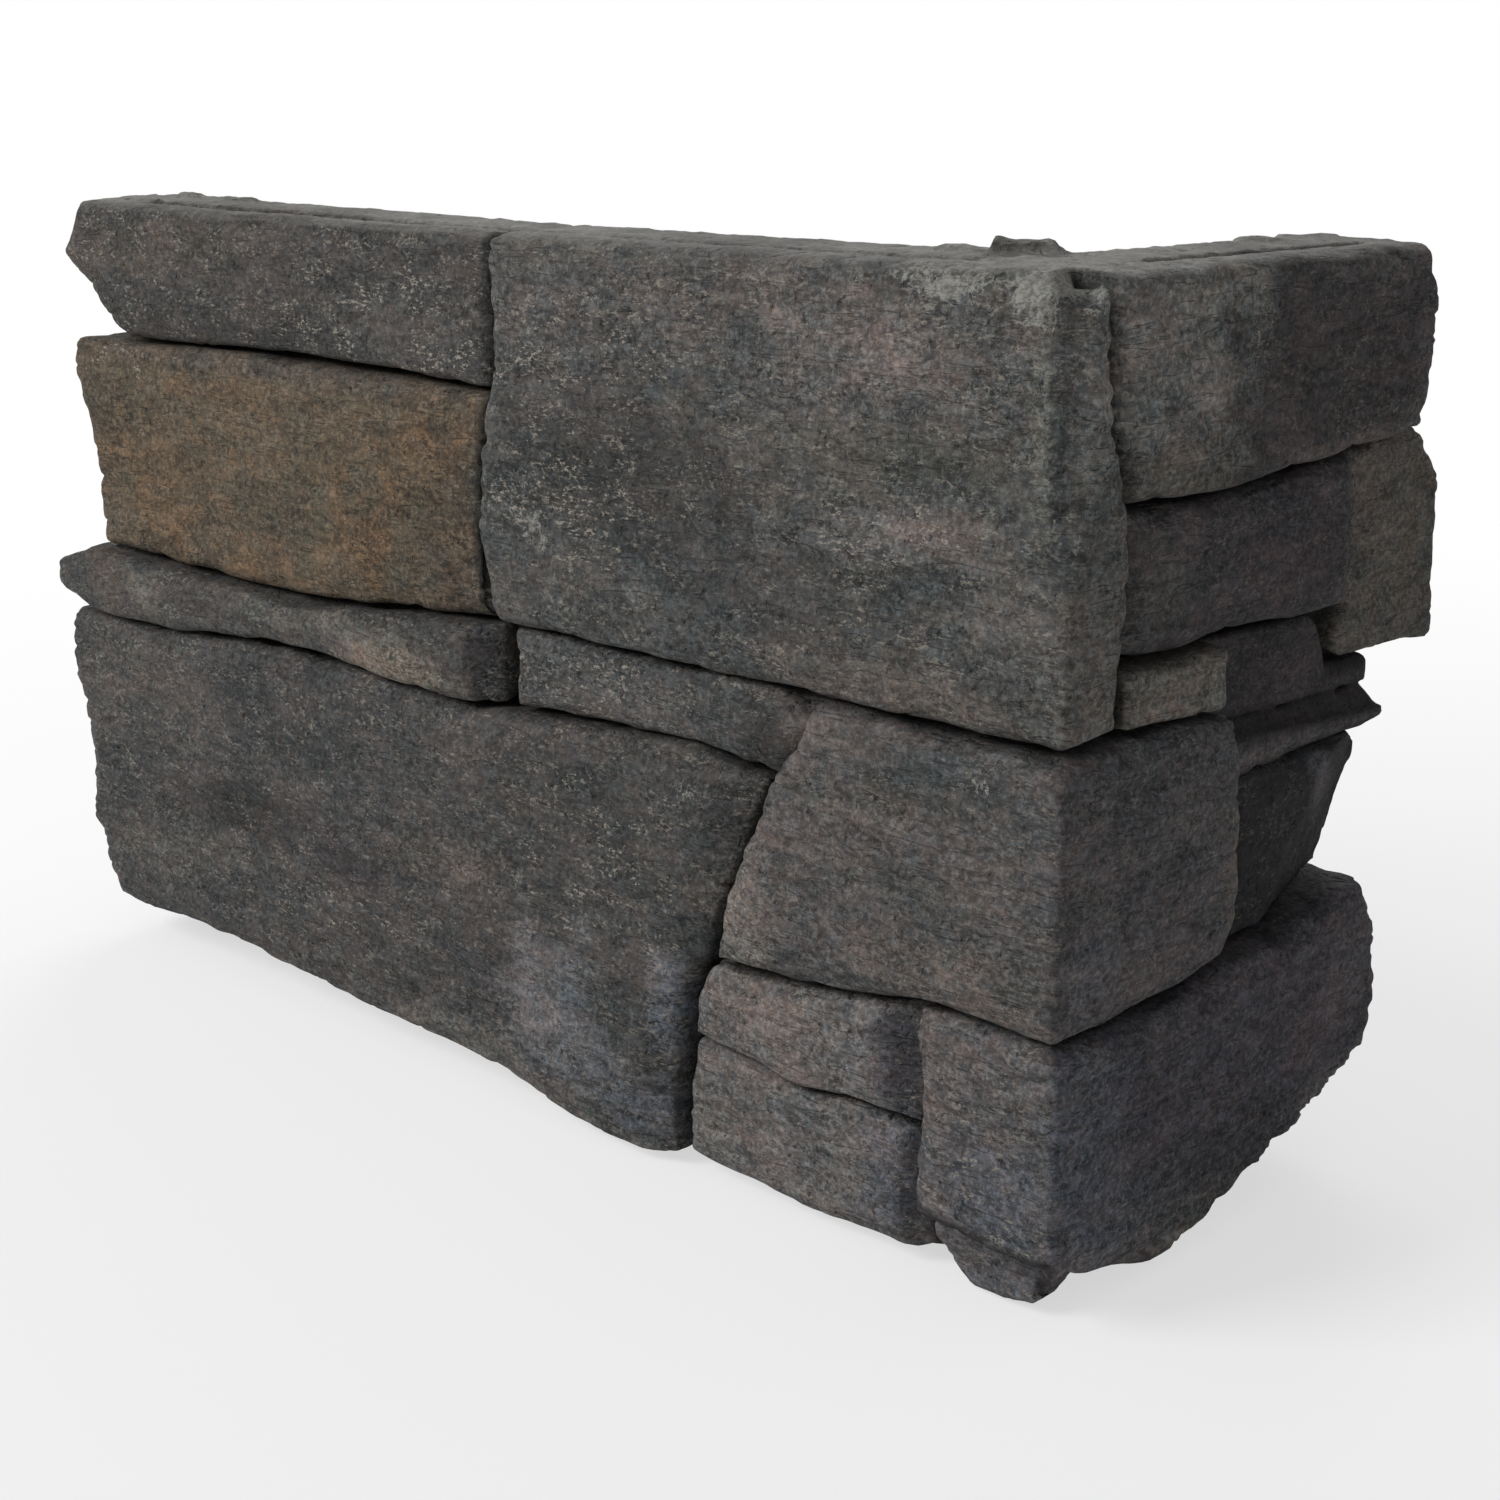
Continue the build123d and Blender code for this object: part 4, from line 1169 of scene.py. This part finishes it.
    def build(self) -> bpy.types.Object:
        """Makes the piece.

        Returns:
            The finished object, riding on its body.
        """
        piece = self._remeshed()
        LOG.info("even skin: %d points", len(piece.data.vertices))
        skin = Skin(piece.data, self.face_line)
        skin.points = skin.smoothed(skin.points, 1)
        self._narrowed(skin)
        self._carved(skin)
        self._washed_and_shaded(skin)
        self._worn_and_shaded(skin)
        faces = sum(len(polygon.vertices) - 2 for polygon in piece.data.polygons)
        thin = piece.modifiers.new("fewer_faces", "DECIMATE")
        thin.ratio = min(1.0, self.triangles / faces)
        self._applied(piece)
        piece.data.shade_smooth()
        piece.data.materials.clear()
        piece.data.materials.append(CastStoneFinish().material())
        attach(piece, "root")
        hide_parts(self.node)
        return piece


@dataclass(frozen=True)
class Lamp:
    """A square soft lamp: its place, what it points at, its width in metres and its power."""

    name: str
    at: Triple
    aim: Triple
    size: float
    power: float

    def hang(self) -> None:
        """Puts the lamp into the scene."""
        data = bpy.data.lights.new(self.name, "AREA")
        data.shape, data.size, data.energy = "SQUARE", self.size, self.power
        lamp = bpy.data.objects.new(self.name, data)
        lamp.location = self.at
        towards = Vector(self.aim) - Vector(self.at)
        lamp.rotation_euler = towards.to_track_quat("-Z", "Y").to_euler()
        bpy.context.scene.collection.objects.link(lamp)


@dataclass(frozen=True)
class Studio:
    """The pale floor, the soft lights and the camera at the photograph's angle."""

    eye: Triple = (0.40774, -0.54804, 0.34973)
    right: Triple = (0.72159, 0.6923, 0.005)
    down: Triple = (0.19277, -0.19398, -0.96188)
    ahead: Triple = (-0.66494, 0.69505, -0.27343)
    lens: float = 55.467
    sensor: float = 36.0
    key: Lamp = Lamp("key", (-1.35, -2.05, 1.75), (-0.15, 0.0, 0.15), 1.3, 58.0)
    behind: Lamp = Lamp("behind", (-1.6, 1.9, 1.4), (-0.1, 0.0, 0.15), 1.6, 32.0)
    room_light: float = 0.36
    floor_reach: float = 6.0
    floor_grey: float = 0.86
    floor_shine: float = 0.62
    floor_fade: Band = (0.35, 1.4)

    def camera(self) -> None:
        """Sets up the camera."""
        data = bpy.data.cameras.new("studio_camera")
        data.lens, data.sensor_width = self.lens, self.sensor
        camera = bpy.data.objects.new("studio_camera", data)
        turn = Matrix((self.right, [-c for c in self.down], [-c for c in self.ahead])).transposed()
        camera.matrix_world = Matrix.Translation(self.eye) @ turn.to_4x4()
        bpy.context.scene.collection.objects.link(camera)
        bpy.context.scene.camera = camera

    def lights(self) -> None:
        """Sets up the lamps and the world."""
        self.key.hang()
        self.behind.hang()
        bench = Bench(bpy.data.worlds.new("studio"))
        seen = bench.node("ShaderNodeLightPath", {}, {}, "Is Camera Ray")
        soft = bench.node("ShaderNodeBackground", {}, {"Color": WHITE, "Strength": self.room_light})
        white = bench.node("ShaderNodeBackground", {}, {"Color": WHITE, "Strength": 1.0})
        bench.finished(bench.node("ShaderNodeMixShader", {}, {0: seen, 1: soft, 2: white}))
        bpy.context.scene.world = bench.owner

    def floor(self) -> bpy.types.Object:
        """Lays the pale floor, whose colour the camera sees as nearly white.

        Returns:
            The floor.
        """
        mesh = bpy.data.meshes.new("studio_floor")
        plane = bmesh.new()
        bmesh.ops.create_grid(plane, x_segments=1, y_segments=1, size=self.floor_reach)
        plane.to_mesh(mesh)
        plane.free()
        floor = bpy.data.objects.new("studio_floor", mesh)
        bpy.context.scene.collection.objects.link(floor)
        bench = Bench(bpy.data.materials.new("pale_floor"))
        grey = (*[self.floor_grey] * 3, 1.0)
        seen = bench.node("ShaderNodeLightPath", {}, {}, "Is Camera Ray")
        plain = bench.node("ShaderNodeBsdfDiffuse", {}, {"Color": grey})
        white = bench.node("ShaderNodeEmission", {}, {"Color": WHITE, "Strength": 1.0})
        place = bench.node("ShaderNodeTexCoord", {}, {}, "Object")
        away = bench.node("ShaderNodeVectorMath", {"operation": "LENGTH"}, {0: place}, "Value")
        share = self.floor_shine + away.step(*self.floor_fade) * (1 - self.floor_shine)
        bench.finished(bench.node("ShaderNodeMixShader", {}, {0: seen * share, 1: plain, 2: white}))
        mesh.materials.append(bench.owner)
        return floor


def main() -> None:
    logging.basicConfig(level=logging.INFO, format="%(name)s: %(message)s")
    scene = bpy.context.scene
    scene.view_settings.view_transform = "Standard"
    studio = Studio()
    studio.camera()
    studio.lights()
    studio.floor()
    piece = CornerCasting().build()
    count = sum(len(polygon.vertices) - 2 for polygon in piece.data.polygons)
    LOG.info("%s: %d triangles", piece.name, count)


if __name__ == "__main__":
    main()
